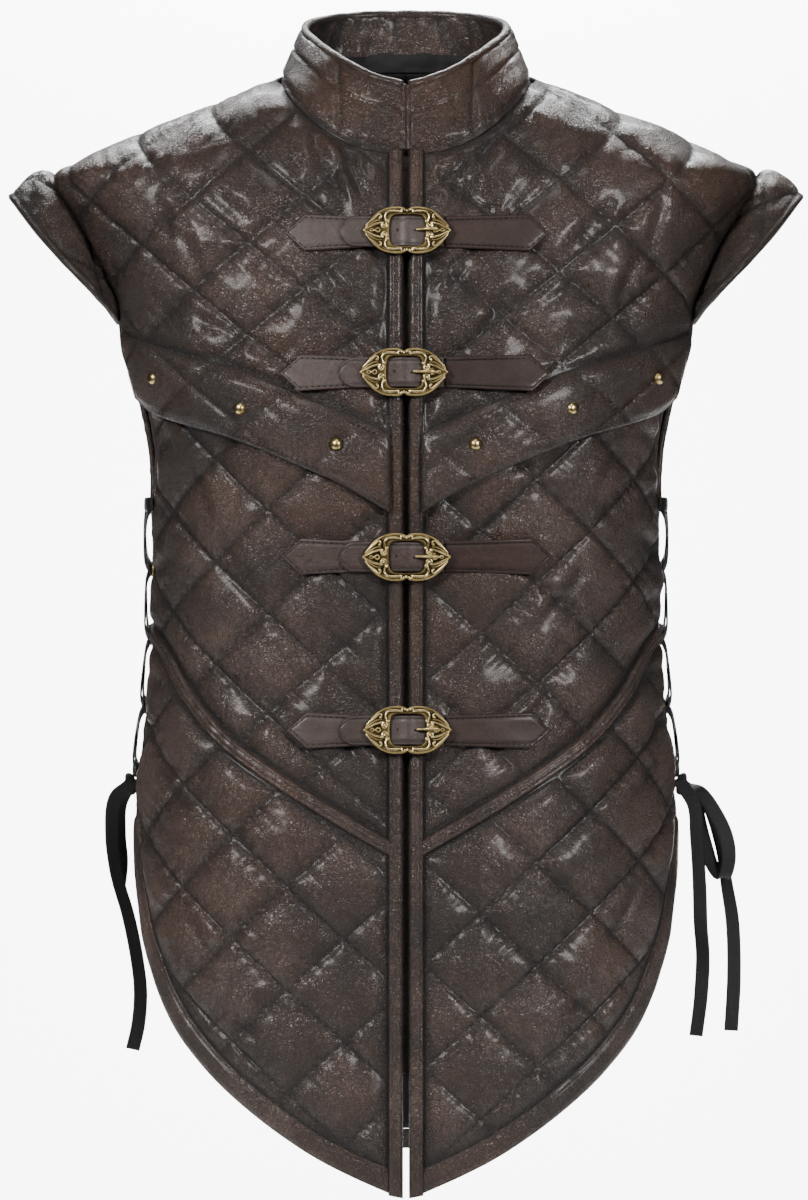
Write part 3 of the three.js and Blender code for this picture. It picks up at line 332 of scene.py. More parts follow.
# the place that lies u along the level ring from the centre front at height z
def formPoint(u, z):
    u, z = np.broadcast_arrays(np.asarray(u, float), np.asarray(z, float))
    whole = half(z)
    reach = np.where(u < 0, -u, np.where(u > whole, 2 * whole - u, u))
    side = np.where((u < 0) | (u > whole), -1.0, 1.0)
    row = np.clip(tableTop - z, 0, len(tableHeights) - 1.001)
    column = np.clip(reach / whole * ringSteps, 0, ringSteps - 0.001)
    i, j = row.astype(int), column.astype(int)
    s, t = (row - i)[..., None], (column - j)[..., None]
    high = ringTable[i, j] * (1 - t) + ringTable[i, j + 1] * t
    low = ringTable[i + 1, j] * (1 - t) + ringTable[i + 1, j + 1] * t
    flat = high * (1 - s) + low * s
    return np.stack([flat[..., 0] * side, flat[..., 1], z], axis=-1)


def formNormal(u, z):
    across = formPoint(u + 2, z) - formPoint(u - 2, z)
    up = formPoint(u, z + 2) - formPoint(u, z - 2)
    normal = np.cross(across, up)
    return normal / np.linalg.norm(normal, axis=-1)[..., None]


def onForm(u, z, out):
    return formPoint(u, z) + formNormal(u, z) * np.asarray(out, float)[..., None]


def onBack(u, z, out):
    return onForm(half(z) - u, z, out)


# the length along the ring to where the front reaches x
def reachOf(x, z):
    width, front, _ = ringAt(z)
    turns = np.linspace(0, np.pi / 2, turnSteps)
    ring = np.stack([width * np.sin(turns) ** roundness,
                     -front * np.maximum(np.cos(turns), 0) ** roundness], axis=1)
    run = np.concatenate([[0], np.cumsum(np.linalg.norm(np.diff(ring, axis=0), axis=1))])
    return float(np.interp(abs(x), ring[:, 0], run))


def distanceTo(line, u, z, closed=False):
    line = np.asarray(line, float)
    ends = np.roll(line, -1, axis=0) if closed else line[1:]
    best = np.full(np.shape(u), np.inf)
    for a, b in zip(line if closed else line[:-1], ends):
        d = b - a
        square = float(d @ d) or 1.0
        t = np.clip(((u - a[0]) * d[0] + (z - a[1]) * d[1]) / square, 0, 1)
        best = np.minimum(best, np.hypot(u - a[0] - t * d[0], z - a[1] - t * d[1]))
    return best


# the pattern's lines, as length along the ring and height on the wearer's left
seam = 0.3
wall = 2.6
puff = 5.0
skin = wall + puff
frontEdge = 11.0
laceGap = 15.0
neckSide = 2.0
shoulderEnd = -66.0
# gaps from the side line to the front's edge and to the back's, at each height
sideRows = [(-66, 0.15, 0.15), (-78, 17, 11), (-91, 25, 16), (-113, 31, 22), (-138, 36, 26),
            (-176, 44, 28), (-220, 46, 24), (-265, 42, 20), (-300, 26, laceGap),
            (-345, laceGap, laceGap), (-900, laceGap, laceGap)]


def sideGap(z, key):
    heights = [-r[0] for r in sideRows]
    gaps = [r[1 if key == "front" else 2] for r in sideRows]
    return np.interp(-np.asarray(z, float), heights, gaps)


def flatten(points):
    return [(reachOf(x, z), z) for x, z in points]


def sidePoint(z):
    return (float(quarter(z) - sideGap(z, "front")), z)


def sideLine(top, bottom, count=30):
    return np.array([sidePoint(z) for z in np.linspace(top, bottom, count)])


neckLine = np.array(flatten([(frontEdge, -53), (26, -50.5), (48, -41.5), (69, -26), (84, -6)]))
bandSeam = np.array([sidePoint(-177)] + flatten([(150, -196), (110, -208), (81, -221), (50, -234),
                                                 (frontEdge, -252)]))
yokeEdge = np.array([sidePoint(-222)] + flatten([(170, -233), (150, -242), (123, -251), (98, -261),
                                                 (71, -273), (45, -285), (frontEdge, -305)]))
waistSeam = np.array([sidePoint(-388)] + flatten([(168, -402), (153, -432), (128, -464), (100, -486),
                                                  (68, -507), (35, -527), (frontEdge, -541)]))
hemLine = np.array([sidePoint(-540)] + flatten([
    (189, -554), (187, -578), (184, -602), (177, -630), (163, -664), (144, -691), (125, -711),
    (96, -735), (65, -756), (38, -770), (frontEdge, -782)]))


# the line moved sideways, to the left of its run
def beside(line, distance):
    before = np.vstack([line[:1], line[:-1]])
    after = np.vstack([line[1:], line[-1:]])
    run = after - before
    run /= np.linalg.norm(run, axis=1)[:, None]
    return line + distance * np.stack([-run[:, 1], run[:, 0]], axis=1)


# the line with its end brought exactly to the front edge
def toEdge(line):
    line = np.array(line, float)
    keep = line[line[:, 0] > frontEdge]
    rest = line[line[:, 0] <= frontEdge]
    a = keep[-1]
    b = rest[0] if len(rest) else 2 * line[-1] - line[-2]
    share = (a[0] - frontEdge) / (a[0] - b[0])
    return np.vstack([keep, a + (b - a) * share])


# the yoke stands off the front that is tucked up under its free edge
def yokeLift(u, z):
    return (skin + 1) * (1 - ease((distanceTo(yokeEdge, np.abs(u), z) - 30) / 45))


# a net of pattern points between four lines, each running right or down
def patch(top, bottom, left, right, spacing):
    across = max(int(max(lengthOf(top), lengthOf(bottom)) / spacing), 4) + 1
    down = max(int(max(lengthOf(left), lengthOf(right)) / spacing), 4) + 1
    top, bottom = evenly(top, across), evenly(bottom, across)
    left, right = evenly(left, down), evenly(right, down)
    s = np.linspace(0, 1, across)[None, :, None]
    t = np.linspace(0, 1, down)[:, None, None]
    sides = (1 - s) * left[:, None] + s * right[:, None]
    ends = (1 - t) * top[None] + t * bottom[None]
    corners = ((1 - s) * (1 - t) * top[0] + s * (1 - t) * top[-1]
               + (1 - s) * t * bottom[0] + s * t * bottom[-1])
    return sides + ends - corners


# a net between two lines: rows go across it, columns along it
def ribbonNet(a, b, along, across):
    a, b = evenly(a, along), evenly(b, along)
    t = np.linspace(0, 1, across)[:, None, None]
    return a[None] * (1 - t) + b[None] * t


# relief of the quilting: how soft the puffs are, how far pinches and puckers reach from the seams
quilting = {"soft": 2.1, "body": 0.6, "pinch": 1.5, "pucker": 1.05, "near": 8.5, "sag": 0.8, "fine": 0.16}


# how far a point is from the nearest stitched line of each family, and where along it
def quiltFolds(u, z, net):
    cu, cz, wide, high = net
    a, b = (u - cu) / wide, (z - cz) / high
    scale = wide * high / math.hypot(wide, high)
    folds = []
    for v, w in ((a + b, a - b), (a - b, a + b)):
        line = np.round(v / 2) * 2
        folds.append((np.abs(v - line) * scale, w * math.hypot(wide, high) / 2, line))
    return folds


# height of quilted leather over its wadding: soft puffs, pinched and puckered at the lines
def quiltRelief(u, z, net, seed):
    (d1, w1, l1), (d2, w2, l2) = quiltFolds(u, z, net)
    wide, high = net[2:]
    inside = wide * high / math.hypot(wide, high)
    share = np.minimum(np.clip(d1 / inside, 0, 1), np.clip(d2 / inside, 0, 1))
    body = 1 - (1 - share) ** quilting["soft"]
    pinch = 1 - np.exp(-np.minimum(d1, d2) / quilting["pinch"])
    height = puff * (quilting["body"] * body + (1 - quilting["body"]) * pinch)
    for k, (d, w, line) in enumerate(((d1, w1, l1), (d2, w2, l2))):
        folds = wave(w / 5.2 + line * 7.3, seed + k) + 0.6 * wave(w / 2.7 + line * 3.1, seed + 4 + k)
        near = np.exp(-d / quilting["near"]) * (1 - np.exp(-d / 1.4))
        height = height + quilting["pucker"] * folds * near
    height = height + quilting["sag"] * clouds(u / 17, z / 14, seed + 9) * share
    height = height + quilting["fine"] * clouds(u / 6, z / 5, seed + 12) * (0.3 + share)
    return height


# creases put in one by one: where, which way, how long, how wide, how deep (ridge when over 0)
def creaseRelief(u, z, creases):
    total = np.zeros(np.shape(u))
    for k, (cu, cz, angle, length, width, depth, bend) in enumerate(creases):
        c, s = math.cos(math.radians(angle)), math.sin(math.radians(angle))
        along = (u - cu) * c + (z - cz) * s
        aside = -(u - cu) * s + (z - cz) * c
        aside = aside - bend * (along / length) ** 2 * length - 1.2 * wave(along / 17, k)
        ends = ease((length / 2 - np.abs(along)) / (length * 0.35))
        uneven = 1 + 0.35 * wave(along / 11, k + 30)
        trough = np.exp(-(aside / width) ** 2) - 0.45 * np.exp(-((aside - 1.9 * width) / width) ** 2)
        total = total + depth * uneven * ends * trough
    return total


# a material in the making: its nodes, and the place on the object that its textures follow
class Look:
    def __init__(self, name):
        self.material = bpy.data.materials.new(name)
        self.material.use_nodes = True
        self.nodes = self.material.node_tree.nodes
        self.links = self.material.node_tree.links
        self.shader = self.nodes["Principled BSDF"]
        self.place = self.nodes.new("ShaderNodeTexCoord").outputs["Object"]

    def put(self, value, socket):
        if hasattr(value, "links"):
            self.links.new(value, socket)
        else:
            socket.default_value = value

    def texture(self, kind, place=None, settings=(), **values):
        node = self.nodes.new("ShaderNodeTex" + kind)
        for key, value in dict(settings).items():
            setattr(node, key, value)
        for key, value in values.items():
            node.inputs[key].default_value = value
        self.links.new(place or self.place, node.inputs["Vector"])
        return node

    def noise(self, scale, detail, roughness=0.5):
        return self.texture("Noise", Scale=scale, Detail=detail, Roughness=roughness).outputs

    def crest(self):
        node = self.nodes.new("ShaderNodeAttribute")
        node.attribute_name = "crest"
        return node.outputs["Fac"]

    def ramp(self, source, *stops):
        node = self.nodes.new("ShaderNodeValToRGB")
        elements = node.color_ramp.elements
        while len(elements) < len(stops):
            elements.new(0.5)
        for element, (at, colour) in zip(elements, stops):
            element.position = at
            element.color = (*colour, 1) if isinstance(colour, tuple) else (colour,) * 3 + (1,)
        self.links.new(source, node.inputs["Fac"])
        return node.outputs["Color"]

    def math(self, operation, *values):
        result = values[0]
        for value in values[1:]:
            node = self.nodes.new("ShaderNodeMath")
            node.operation = operation
            self.put(result, node.inputs[0])
            self.put(value, node.inputs[1])
            result = node.outputs[0]
        return result

    def mix(self, blend, share, a, b):
        node = self.nodes.new("ShaderNodeMix")
        node.data_type = "RGBA"
        node.blend_type = blend
        sockets = {socket.identifier: socket for socket in node.inputs}
        self.put(share, sockets["Factor_Float"])
        self.put(a, sockets["A_Color"])
        self.put(b if hasattr(b, "links") else (*b, 1), sockets["B_Color"])
        return next(s for s in node.outputs if s.identifier == "Result_Color")

    def finish(self, colour, rough, height, strength, depth, **plain):
        bump = self.nodes.new("ShaderNodeBump")
        bump.inputs["Strength"].default_value = strength
        bump.inputs["Distance"].default_value = depth
        self.put(height, bump.inputs["Height"])
        self.put(colour, self.shader.inputs["Base Color"])
        self.put(rough, self.shader.inputs["Roughness"])
        self.put(bump.outputs["Normal"], self.shader.inputs["Normal"])
        for key, value in plain.items():
            self.shader.inputs[key.replace("_", " ")].default_value = value
        return self.material


# crackled leather: mottled dye, painted shade in the valleys and a painted highlight on the crests, and a
# net of fine cracks
def leatherMaterial(name, dark, middle, light, rust, rusty, crackle, shine, gleam):
    look = Look(name)
    patches = look.noise(16.0, 6.0, 0.62)["Fac"]
    blotches = look.noise(5.5, 4.0, 0.55)["Fac"]
    specks = look.noise(340.0, 4.0, 0.7)["Fac"]
    warp = look.noise(120.0, 3.0)
    grain = look.noise(900.0, 3.0, 0.6)["Fac"]
    shifted = look.nodes.new("ShaderNodeVectorMath")
    shifted.operation = "MULTIPLY_ADD"
    for value, socket in zip((warp["Color"], (0.006,) * 3, look.place), shifted.inputs):
        look.put(value, socket)
    nets = []
    for scale, wide in ((240.0, 0.06), (640.0, 0.13)):
        cells = look.texture("Voronoi", shifted.outputs[0], {"feature": "DISTANCE_TO_EDGE"}, Scale=scale)
        nets.append(look.ramp(cells.outputs["Distance"], (0.0, 0.0), (wide, 0.85), (wide * 3, 1.0)))
    cracks = look.math("MULTIPLY", *nets)
    crest = look.crest()
    colour = look.ramp(patches, (0.32, dark), (0.5, middle), (0.68, light))
    colour = look.mix("MIX", look.ramp(blotches, (0.5, 0.0), (0.66, rusty)), colour, rust)
    # painted shade and highlight: the colour darkens where the crest attribute is low and brightens where it
    # is high
    colour = look.mix("MULTIPLY", 1.0, colour, look.ramp(crest, (0.0, 0.18), (0.35, 0.72), (0.8, 1.2)))
    colour = look.mix("MULTIPLY", 0.8, colour, look.ramp(specks, (0.36, 0.55), (0.5, 1.0), (0.68, 1.3)))
    colour = look.mix("MULTIPLY", crackle, colour, look.ramp(cracks, (0.0, 0.2), (0.8, 0.85), (1.0, 1.06)))
    dull = look.math("MULTIPLY", look.math("SUBTRACT", 1.0, cracks), 0.34 * crackle)
    rough = look.math("ADD", look.ramp(patches, (0.3, shine + 0.2), (0.52, shine), (0.75, shine + 0.12)),
                      look.math("MULTIPLY", specks, 0.16), dull, look.ramp(crest, (0.0, 0.22), (0.4, 0.0)))
    height = look.math("ADD", look.math("MULTIPLY", cracks, crackle), look.math("MULTIPLY", grain, 0.35),
                       look.math("MULTIPLY", warp["Fac"], 1.1))
    return look.finish(colour, rough, height, 0.65, 0.0009, Specular_IOR_Level=gleam, Coat_Weight=0.08,
                       Coat_Roughness=0.2)


# antiqued brass: dark in the hollows, rubbed bright on what stands out; on the rivets the same crest paints
# shade and a highlight
def brassMaterial(name):
    look = Look(name)
    stain = look.math("MULTIPLY", look.noise(240.0, 5.0, 0.6)["Fac"], 0.35)
    mixed = look.math("ADD", look.math("MULTIPLY", look.crest(), 0.8), stain)
    colour = look.ramp(mixed, (0.25, (0.018, 0.013, 0.006)), (0.55, (0.12, 0.088, 0.034)),
                       (0.82, (0.36, 0.28, 0.125)), (1.0, (0.6, 0.49, 0.26)))
    rough = look.ramp(mixed, (0.25, 0.6), (0.8, 0.34), (1.0, 0.26))
    return look.finish(colour, rough, look.noise(1400.0, 2.0)["Fac"], 0.25, 0.0002, Metallic=1.0)


# closely woven black cloth or tape
def wovenMaterial(name, colour, scale, depth):
    look = Look(name)
    threads = look.texture("Wave", None, {"bands_direction": "DIAGONAL"}, Scale=scale, Distortion=1.2)
    fuzz = look.noise(700.0, 4.0)["Fac"]
    tone = look.ramp(fuzz, (0.35, tuple(c * 0.7 for c in colour)), (0.7, tuple(c * 1.5 for c in colour)))
    height = look.math("ADD", threads.outputs["Fac"], fuzz)
    return look.finish(tone, 0.6, height, 0.4, depth, Specular_IOR_Level=0.2)


quiltLeather = leatherMaterial("leather", (0.0095, 0.0052, 0.0038), (0.026, 0.0144, 0.0104),
                               (0.055, 0.0335, 0.026), (0.053, 0.0235, 0.0115), 0.6, 0.95, 0.2, 0.42)
strapLeather = leatherMaterial("strap leather", (0.0195, 0.0106, 0.0082), (0.0245, 0.0137, 0.0108),
                               (0.03, 0.0176, 0.0142), (0.026, 0.0128, 0.0088), 0.25, 0.08, 0.38, 0.36)
brownStrap = leatherMaterial("brown strap leather", (0.013, 0.0062, 0.0042), (0.0172, 0.0086, 0.006),
                             (0.0225, 0.0118, 0.0085), (0.023, 0.0105, 0.0062), 0.35, 0.1, 0.4, 0.2)
brass = brassMaterial("antique brass")
tape = wovenMaterial("black tape", (0.006, 0.006, 0.007), 900.0, 0.0002)
lining = wovenMaterial("black lining", (0.004, 0.004, 0.0045), 1300.0, 0.0001)
thread = wovenMaterial("dark thread", (0.008, 0.0055, 0.005), 1500.0, 0.0001)
for piece in laceEnds:
    piece.data.materials.append(tape)
print("materials made")


# the quilting of each panel: a crossing of its lines (u, z), and a diamond's half width and half height
quiltOf = {
    "yoke_left": (28, -73, 40, 32), "yoke_right": (71, -85, 40, 32),
    "front_left": (12, -426, 40, 36), "front_right": (97, -304, 40, 36),
    "skirt_left": (12, -622, 40, 36), "skirt_right": (43, -604, 40, 36), "back": (0, -80, 40, 36),
}
panels = {}
meshStep = {"front": 2.1, "back": 3.2}


# how high the quilting stands, from 0 in its valleys; the leather paints shade into the valleys and a
# highlight on the crests from it
def crestOf(relief):
    return np.clip(relief / (puff * 0.95), 0, 1.2)


def outlineOf(net):
    return np.concatenate([net[0, :-1], net[:-1, -1], net[-1, :0:-1], net[:0:-1, 0]])


# points and faces of a wall over a net of pattern points, with the faces of its inside marked
def wallOver(net, outer, inner, place, turned):
    u, z = net[..., 0], net[..., 1]
    points, faces, split = shell(place(u, z, outer), place(u, z, inner), turned)
    return points, faces, (np.arange(len(faces)) >= split).astype(np.int32)


# a quilted panel of leather over a plain lining
def quiltedPiece(node, net, seed, place, turned, lift=None):
    quilt = quiltOf.get(node, quiltOf["back"])
    panels[node] = (net, quilt, seed, place, lift)
    u, z = net[..., 0], net[..., 1]
    edge = rise((distanceTo(outlineOf(net)[::4], u, z, True) - 3) / 12)
    relief = quiltRelief(u, z, quilt, seed) * edge
    relief = relief + creaseRelief(u, z, creases[node]) * np.maximum(edge, 0.35)
    relief = np.maximum(relief, 0.0)
    base = lift(u, z) if lift else np.zeros(u.shape)
    points, faces, kinds = wallOver(net, base + wall + relief, base, place, turned)
    # the crest of the outside paints shade in the quilting's valleys and a highlight on its puffs
    crest = np.concatenate([crestOf(relief).reshape(-1), np.full(relief.size, 0.5)])
    piece = addPiece("quilted_" + node, points, faces, [quiltLeather, lining], "leather", node, kinds, crest)


# creases on each panel: place (u, z), way in degrees, length, width, depth, bend
creases = {
    "yoke_right": [
        (55, -66, 66, 82, 5.5, -2.6, 0.05), (45, -68, 68, 70, 5, 1.7, 0.02),
        (37, -70, 73, 66, 4.5, -2.4, -0.04), (26, -74, 79, 52, 4, -1.9, 0), (72, -72, 58, 60, 5, -1.6, 0.06),
        (118, -96, 40, 74, 6, -1.6, -0.08), (150, -128, 62, 60, 5, -1.5, 0.1),
        (96, -140, 30, 66, 5, -1.4, 0.05), (48, -150, 52, 58, 5, -1.8, 0), (172, -96, 70, 52, 5, -1.7, 0.06),
        (132, -176, 24, 60, 5, -1.4, 0.1), (30, -196, 44, 52, 4, -1.5, 0)],
    "yoke_left": [
        (50, -64, 70, 78, 5.5, -2.4, -0.04), (38, -70, 75, 64, 4.5, -2.3, 0.03),
        (27, -74, 82, 54, 4, -1.8, 0), (45, -66, 72, 62, 5, 1.5, 0), (82, -80, 52, 66, 5, -1.7, 0.05),
        (126, -110, 46, 80, 6, -1.7, 0.06), (158, -142, 66, 56, 5, -1.6, -0.06),
        (104, -156, 34, 60, 5, -1.4, 0.08), (62, -166, 50, 54, 5, -1.6, 0), (178, -100, 72, 50, 5, -1.8, 0),
        (36, -140, 60, 46, 4, -1.4, 0)],
    "front_right": [
        (196, -262, -22, 70, 6, -2, 0.1), (204, -300, 12, 62, 6, -1.8, -0.08),
        (198, -344, -12, 74, 6, -2.1, 0.06), (150, -290, 60, 64, 5, -1.6, 0.05),
        (60, -318, 38, 60, 5, -1.6, 0), (112, -352, 48, 70, 5, -1.5, 0.05), (48, -396, 44, 62, 5, -1.6, 0),
        (92, -438, 40, 60, 5, -1.5, 0), (34, -478, 56, 50, 4.5, -1.6, 0), (174, -372, 30, 52, 5, -1.5, 0.1)],
    "front_left": [
        (198, -258, -26, 74, 6, -2.1, 0.08), (206, -292, 8, 58, 6, -1.9, 0.06),
        (196, -330, -16, 76, 6, -2.1, -0.06), (202, -366, 14, 54, 5.5, -1.8, 0.05),
        (140, -284, 58, 62, 5, -1.5, 0), (64, -308, 42, 60, 5, -1.6, 0), (110, -366, 50, 72, 5, -1.5, 0.06),
        (52, -402, 48, 58, 5, -1.5, 0), (84, -452, 36, 60, 5, -1.5, 0), (30, -500, 60, 46, 4.5, -1.5, 0)],
    "skirt_right": [
        (204, -420, 24, 66, 6, -1.9, 0.08), (208, -462, -14, 60, 6, -1.8, 0.06),
        (172, -500, 48, 72, 5, -1.6, 0), (112, -540, 40, 64, 5, -1.4, 0.05), (60, -590, 52, 60, 5, -1.4, 0),
        (150, -600, 56, 60, 5, -1.5, 0), (40, -680, 62, 54, 5, -1.3, 0), (110, -668, 44, 60, 5, -1.3, 0)],
    "skirt_left": [
        (206, -414, 20, 68, 6, -1.9, -0.08), (210, -456, -18, 62, 6, -1.9, 0.05),
        (180, -492, 50, 70, 5, -1.6, 0), (120, -530, 42, 66, 5, -1.5, 0), (70, -584, 50, 58, 5, -1.4, 0),
        (158, -586, 58, 64, 5, -1.6, 0.05), (50, -668, 60, 54, 5, -1.3, 0), (122, -650, 46, 58, 5, -1.4, 0)],
    "back_left": [
        (190, -250, -20, 70, 6, -1.8, 0.08), (196, -310, 10, 60, 6, -1.7, 0),
        (60, -120, 60, 70, 6, -1.6, 0.05), (130, -100, 48, 74, 6, -1.6, 0), (40, -280, 52, 66, 5, -1.4, 0),
        (110, -360, 44, 60, 5, -1.4, 0)],
    "back_right": [
        (188, -262, -16, 72, 6, -1.8, 0.05), (198, -330, 12, 58, 6, -1.7, 0), (70, -134, 56, 66, 6, -1.6, 0),
        (140, -112, 50, 70, 6, -1.6, 0.06), (36, -240, 58, 60, 5, -1.4, 0), (96, -330, 40, 62, 5, -1.4, 0)],
    "skirt_back_left": [
        (198, -440, 20, 62, 6, -1.8, 0.05), (120, -540, 44, 60, 5, -1.4, 0), (50, -600, 56, 58, 5, -1.4, 0)],
    "skirt_back_right": [
        (200, -452, 16, 60, 6, -1.8, 0), (112, -552, 48, 62, 5, -1.4, 0), (44, -640, 60, 54, 5, -1.4, 0)],
}


# a place for pattern points on the wearer's left or right, in front or at the back
def placeOn(form, side):
    return lambda u, z, out: form(side * u, z, out)


# one end of a panel: a line of pattern points at the front edge or the centre seam
def uprightAt(u, above, below):
    return np.array([(u, above[-1, 1]), (u, below[-1, 1])])


shoulderLine = np.array([(float(quarter(z)) - 0.4, z) for z in np.linspace(neckSide, shoulderEnd, 40)])
weltRoom = 4.25
tuck = 25
hemWide = 14
hemStart = -518
neck = smoothLine(neckLine, 30)
bandTop = toEdge(beside(bandSeam, -seam / 2))
tucked = yokeEdge + (0, tuck)
weltTop = toEdge(beside(waistSeam, -weltRoom))
weltLow = toEdge(beside(waistSeam, weltRoom))
hemTop = toEdge(np.vstack([[sidePoint(hemStart)], beside(hemLine, -hemWide)[1:]]))
skirtEnd = toEdge(beside(hemTop, -seam))
frontPanels = [
    ("yoke", np.vstack([neck, shoulderLine]), bandTop, uprightAt(frontEdge, neckLine[:1], bandTop),
     np.vstack([shoulderLine[-1:], sideLine(-70, -171), bandTop[:1]]), 3, yokeLift),
    ("front", smoothLine(tucked, 60)[::-1], weltTop, uprightAt(frontEdge, tucked, weltTop),
     np.vstack([tucked[:1], sideLine(-205, -380), weltTop[:1]]), 13, None),
    ("skirt", smoothLine(weltLow, 60)[::-1], skirtEnd, uprightAt(frontEdge, weltLow, skirtEnd),
     np.vstack([weltLow[:1], sideLine(-396, -510), skirtEnd[:1]]), 23, None),
]
for side, node in sides:
    for part, top, bottom, inner, outer, seed, lift in frontPanels:
        net = patch(top, smoothLine(bottom, 60)[::-1], inner, outer, meshStep["front"])
        quiltedPiece("%s_%s" % (part, node), net, seed + side, placeOn(onForm, side), side < 0, lift)
print("front panels made")


def backReach(z):
    return half(z) - quarter(z) - sideGap(z, "back")


# a line of the front's pattern laid on the back, from the side edge to the centre seam
def fromFront(line, sideHeight, lift):
    moved = [(min(u, quarter(z)) * (half(z) - quarter(z)) / quarter(z), z + lift) for u, z in line[1:-1]]
    return np.array([(backReach(sideHeight), sideHeight)] + moved + [(0.0, moved[-1][1])], float)


def backSide(top, bottom):
    return np.array([(backReach(z), z) for z in np.linspace(top, bottom, 40)], float)


nape = 9.0
backTop = [(t * (half(z) - quarter(z) - 0.4), z) for t in np.linspace(0, 1, 20)
           for z in [nape + (neckSide - nape) * t * t]]
backTop += [(half(z) - quarter(z) - 0.4, z) for z in np.linspace(neckSide, shoulderEnd, 40)][1:]
backTop = np.array(backTop, float)
backWaist = smoothLine(fromFront(waistSeam, -388, 0), 70)
backHem = fromFront(hemLine, -540, 8)
backHemTop = np.vstack([[(backReach(hemStart), hemStart)], beside(backHem, -hemWide)[1:]])
backHemTop[-1, 0] = 0.0
backSkirtEnd = beside(backHemTop, -seam)
backSkirtEnd[-1, 0] = 0.0
backPanels = [
    ("back", backTop, backWaist[::-1], uprightAt(0.0, backTop[:1], backWaist),
     np.vstack([backTop[-1:], backSide(-72, -380), backWaist[:1]]), 41),
    ("skirt_back", backWaist[::-1], smoothLine(backSkirtEnd, 70)[::-1],
     uprightAt(0.0, backWaist, backSkirtEnd),
     np.vstack([backWaist[:1], backSide(-396, -510), backSkirtEnd[:1]]), 51),
]
for side, node in sides:
    for part, top, bottom, inner, outer, seed in backPanels:
        net = patch(top, bottom, inner, outer, meshStep["back"])
        quiltedPiece("%s_%s" % (part, node), net, seed + side, placeOn(onBack, side), side > 0)


# a narrow strip of leather over a net between two lines; the crest it is given paints shade where the strip
# lies low
def bandPiece(name, node, net, outer, inner, place, crest):
    points, faces, _ = wallOver(net, outer, inner, place, False)
    crest = np.concatenate([crest.reshape(-1), np.full(crest.size, 0.6)])
    return addPiece(name, points, faces, [quiltLeather], "leather", node, crest=crest)


def runAlong(net):
    return np.concatenate([[0], np.cumsum(np.linalg.norm(np.diff(net[0], axis=0), axis=1))])[None, :]


def carriedOn(line):
    return np.vstack([line, 2 * line[-1] - line[-2]])


# a shallow groove or a low ridge across a strip
def lineAt(across, at, width):
    return np.exp(-((across - at) / width) ** 2)


yokeBand = {"plain": 0.7, "puff": 3.8, "rows": 24, "step": 2.3}
hemBand = {"fold": 1.6, "rows": 15, "step": 2.6, "top": -516.5, "wide": 15.8}
welt = {"half": 5.4, "high": 3.1, "groove": 0.9, "rows": 13, "step": 2.2}
cord = {"top": -53.5, "end": -783, "low": 4.4, "high": 3.6, "groove": 0.9, "rows": 330, "columns": 15}
for side, node in sides:
    place = placeOn(onForm, side)
    # the padded band along the yoke's free edge, quilted on with the yoke's own lines
    top = toEdge(beside(carriedOn(bandSeam), -1.6))
    count = int(lengthOf(yokeEdge) / yokeBand["step"])
    net = ribbonNet(smoothLine(top, 90), smoothLine(yokeEdge, 90), count, yokeBand["rows"])
    u, z = net[..., 0], net[..., 1]
    edge = rise((distanceTo(outlineOf(net)[::3], u, z, True) - 1.0) / 8)
    puffed = quiltRelief(u, z, quiltOf["yoke_" + node], 61 + side) / puff
    relief = yokeBand["plain"] + yokeBand["puff"] * edge * (0.1 + 0.9 * puffed)
    lift = yokeLift(u, z)
    bandPiece("band_yoke_" + node, "yoke_band_" + node, net, lift + wall + relief, lift, place, relief / 3.4)

    # the stitched band along the hem, rolled over at its edge
    top = toEdge(np.vstack([[sidePoint(hemBand["top"])], beside(hemLine, -hemBand["wide"])[1:]]))
    count = int(lengthOf(hemLine) / hemBand["step"])
    net = ribbonNet(smoothLine(top, 90), smoothLine(hemLine, 90), count, hemBand["rows"])
    across = np.linspace(0, 1, hemBand["rows"])[:, None]
    run = runAlong(net)
    relief = 0.4 + hemBand["fold"] * rise(np.minimum(across, 1 - across) / 0.3)
    relief = relief - 0.8 * lineAt(across, 0.16, 0.06)
    relief = relief + 0.35 * wave(run / 6 + across * 2, side + 5) * np.exp(-across / 0.5)
    relief = relief + 0.3 * clouds(run / 14, across * 2, 71)
    bandPiece("band_hem_" + node, "hem_" + node, net, wall + np.maximum(relief, 0), 0 * relief, place,
              0.35 + relief / 2.6)

    # the raised, double-stitched seam at the waist
    top = toEdge(beside(waistSeam, -welt["half"]))
    low = toEdge(beside(carriedOn(waistSeam), welt["half"]))
    count = int(lengthOf(waistSeam) / welt["step"])
    net = ribbonNet(smoothLine(top, 80), smoothLine(low, 80), count, welt["rows"])
    across = np.abs(np.linspace(-1, 1, welt["rows"])[:, None])
    run = runAlong(net)
    relief = 0.5 + welt["high"] * rise((0.95 - across) / 0.4) - welt["groove"] * lineAt(across, 0.39, 0.1)
    relief = relief + 0.3 * wave(run / 4.2, side + 9) + 0.25 * wave(run / 9, side + 12)
    bandPiece("welt_waist_" + node, "welt_" + node, net, wall + np.maximum(relief, 0), 0 * relief, place,
              0.2 + relief / 4)

    # the corded front edge
    run = np.linspace(cord["top"], cord["end"], cord["rows"])
    net = np.stack(np.meshgrid(np.linspace(2.0, frontEdge + 1.2, cord["columns"]), run), axis=-1)
    net[-1, :, 1] -= 2 * (1 - np.linspace(0, 1, cord["columns"]))
    run = run[:, None]
    t = np.linspace(-1, 1, cord["columns"])[None, :]
    relief = cord["low"] + cord["high"] * np.sqrt(np.clip(1 - np.abs(t) ** 2.4, 0, 1))
    relief = relief - cord["groove"] * lineAt(t, 0.62, 0.1)
    relief = relief + 0.35 * wave(run / 7, 80 + side) * (1 - t * t) + 0.25 * wave(run / 3.1 + t, 83 + side)
    bandPiece("corded_edge_" + node, "piping_" + node, net, relief, 0 * relief, place, (relief - 4.2) / 3.4)

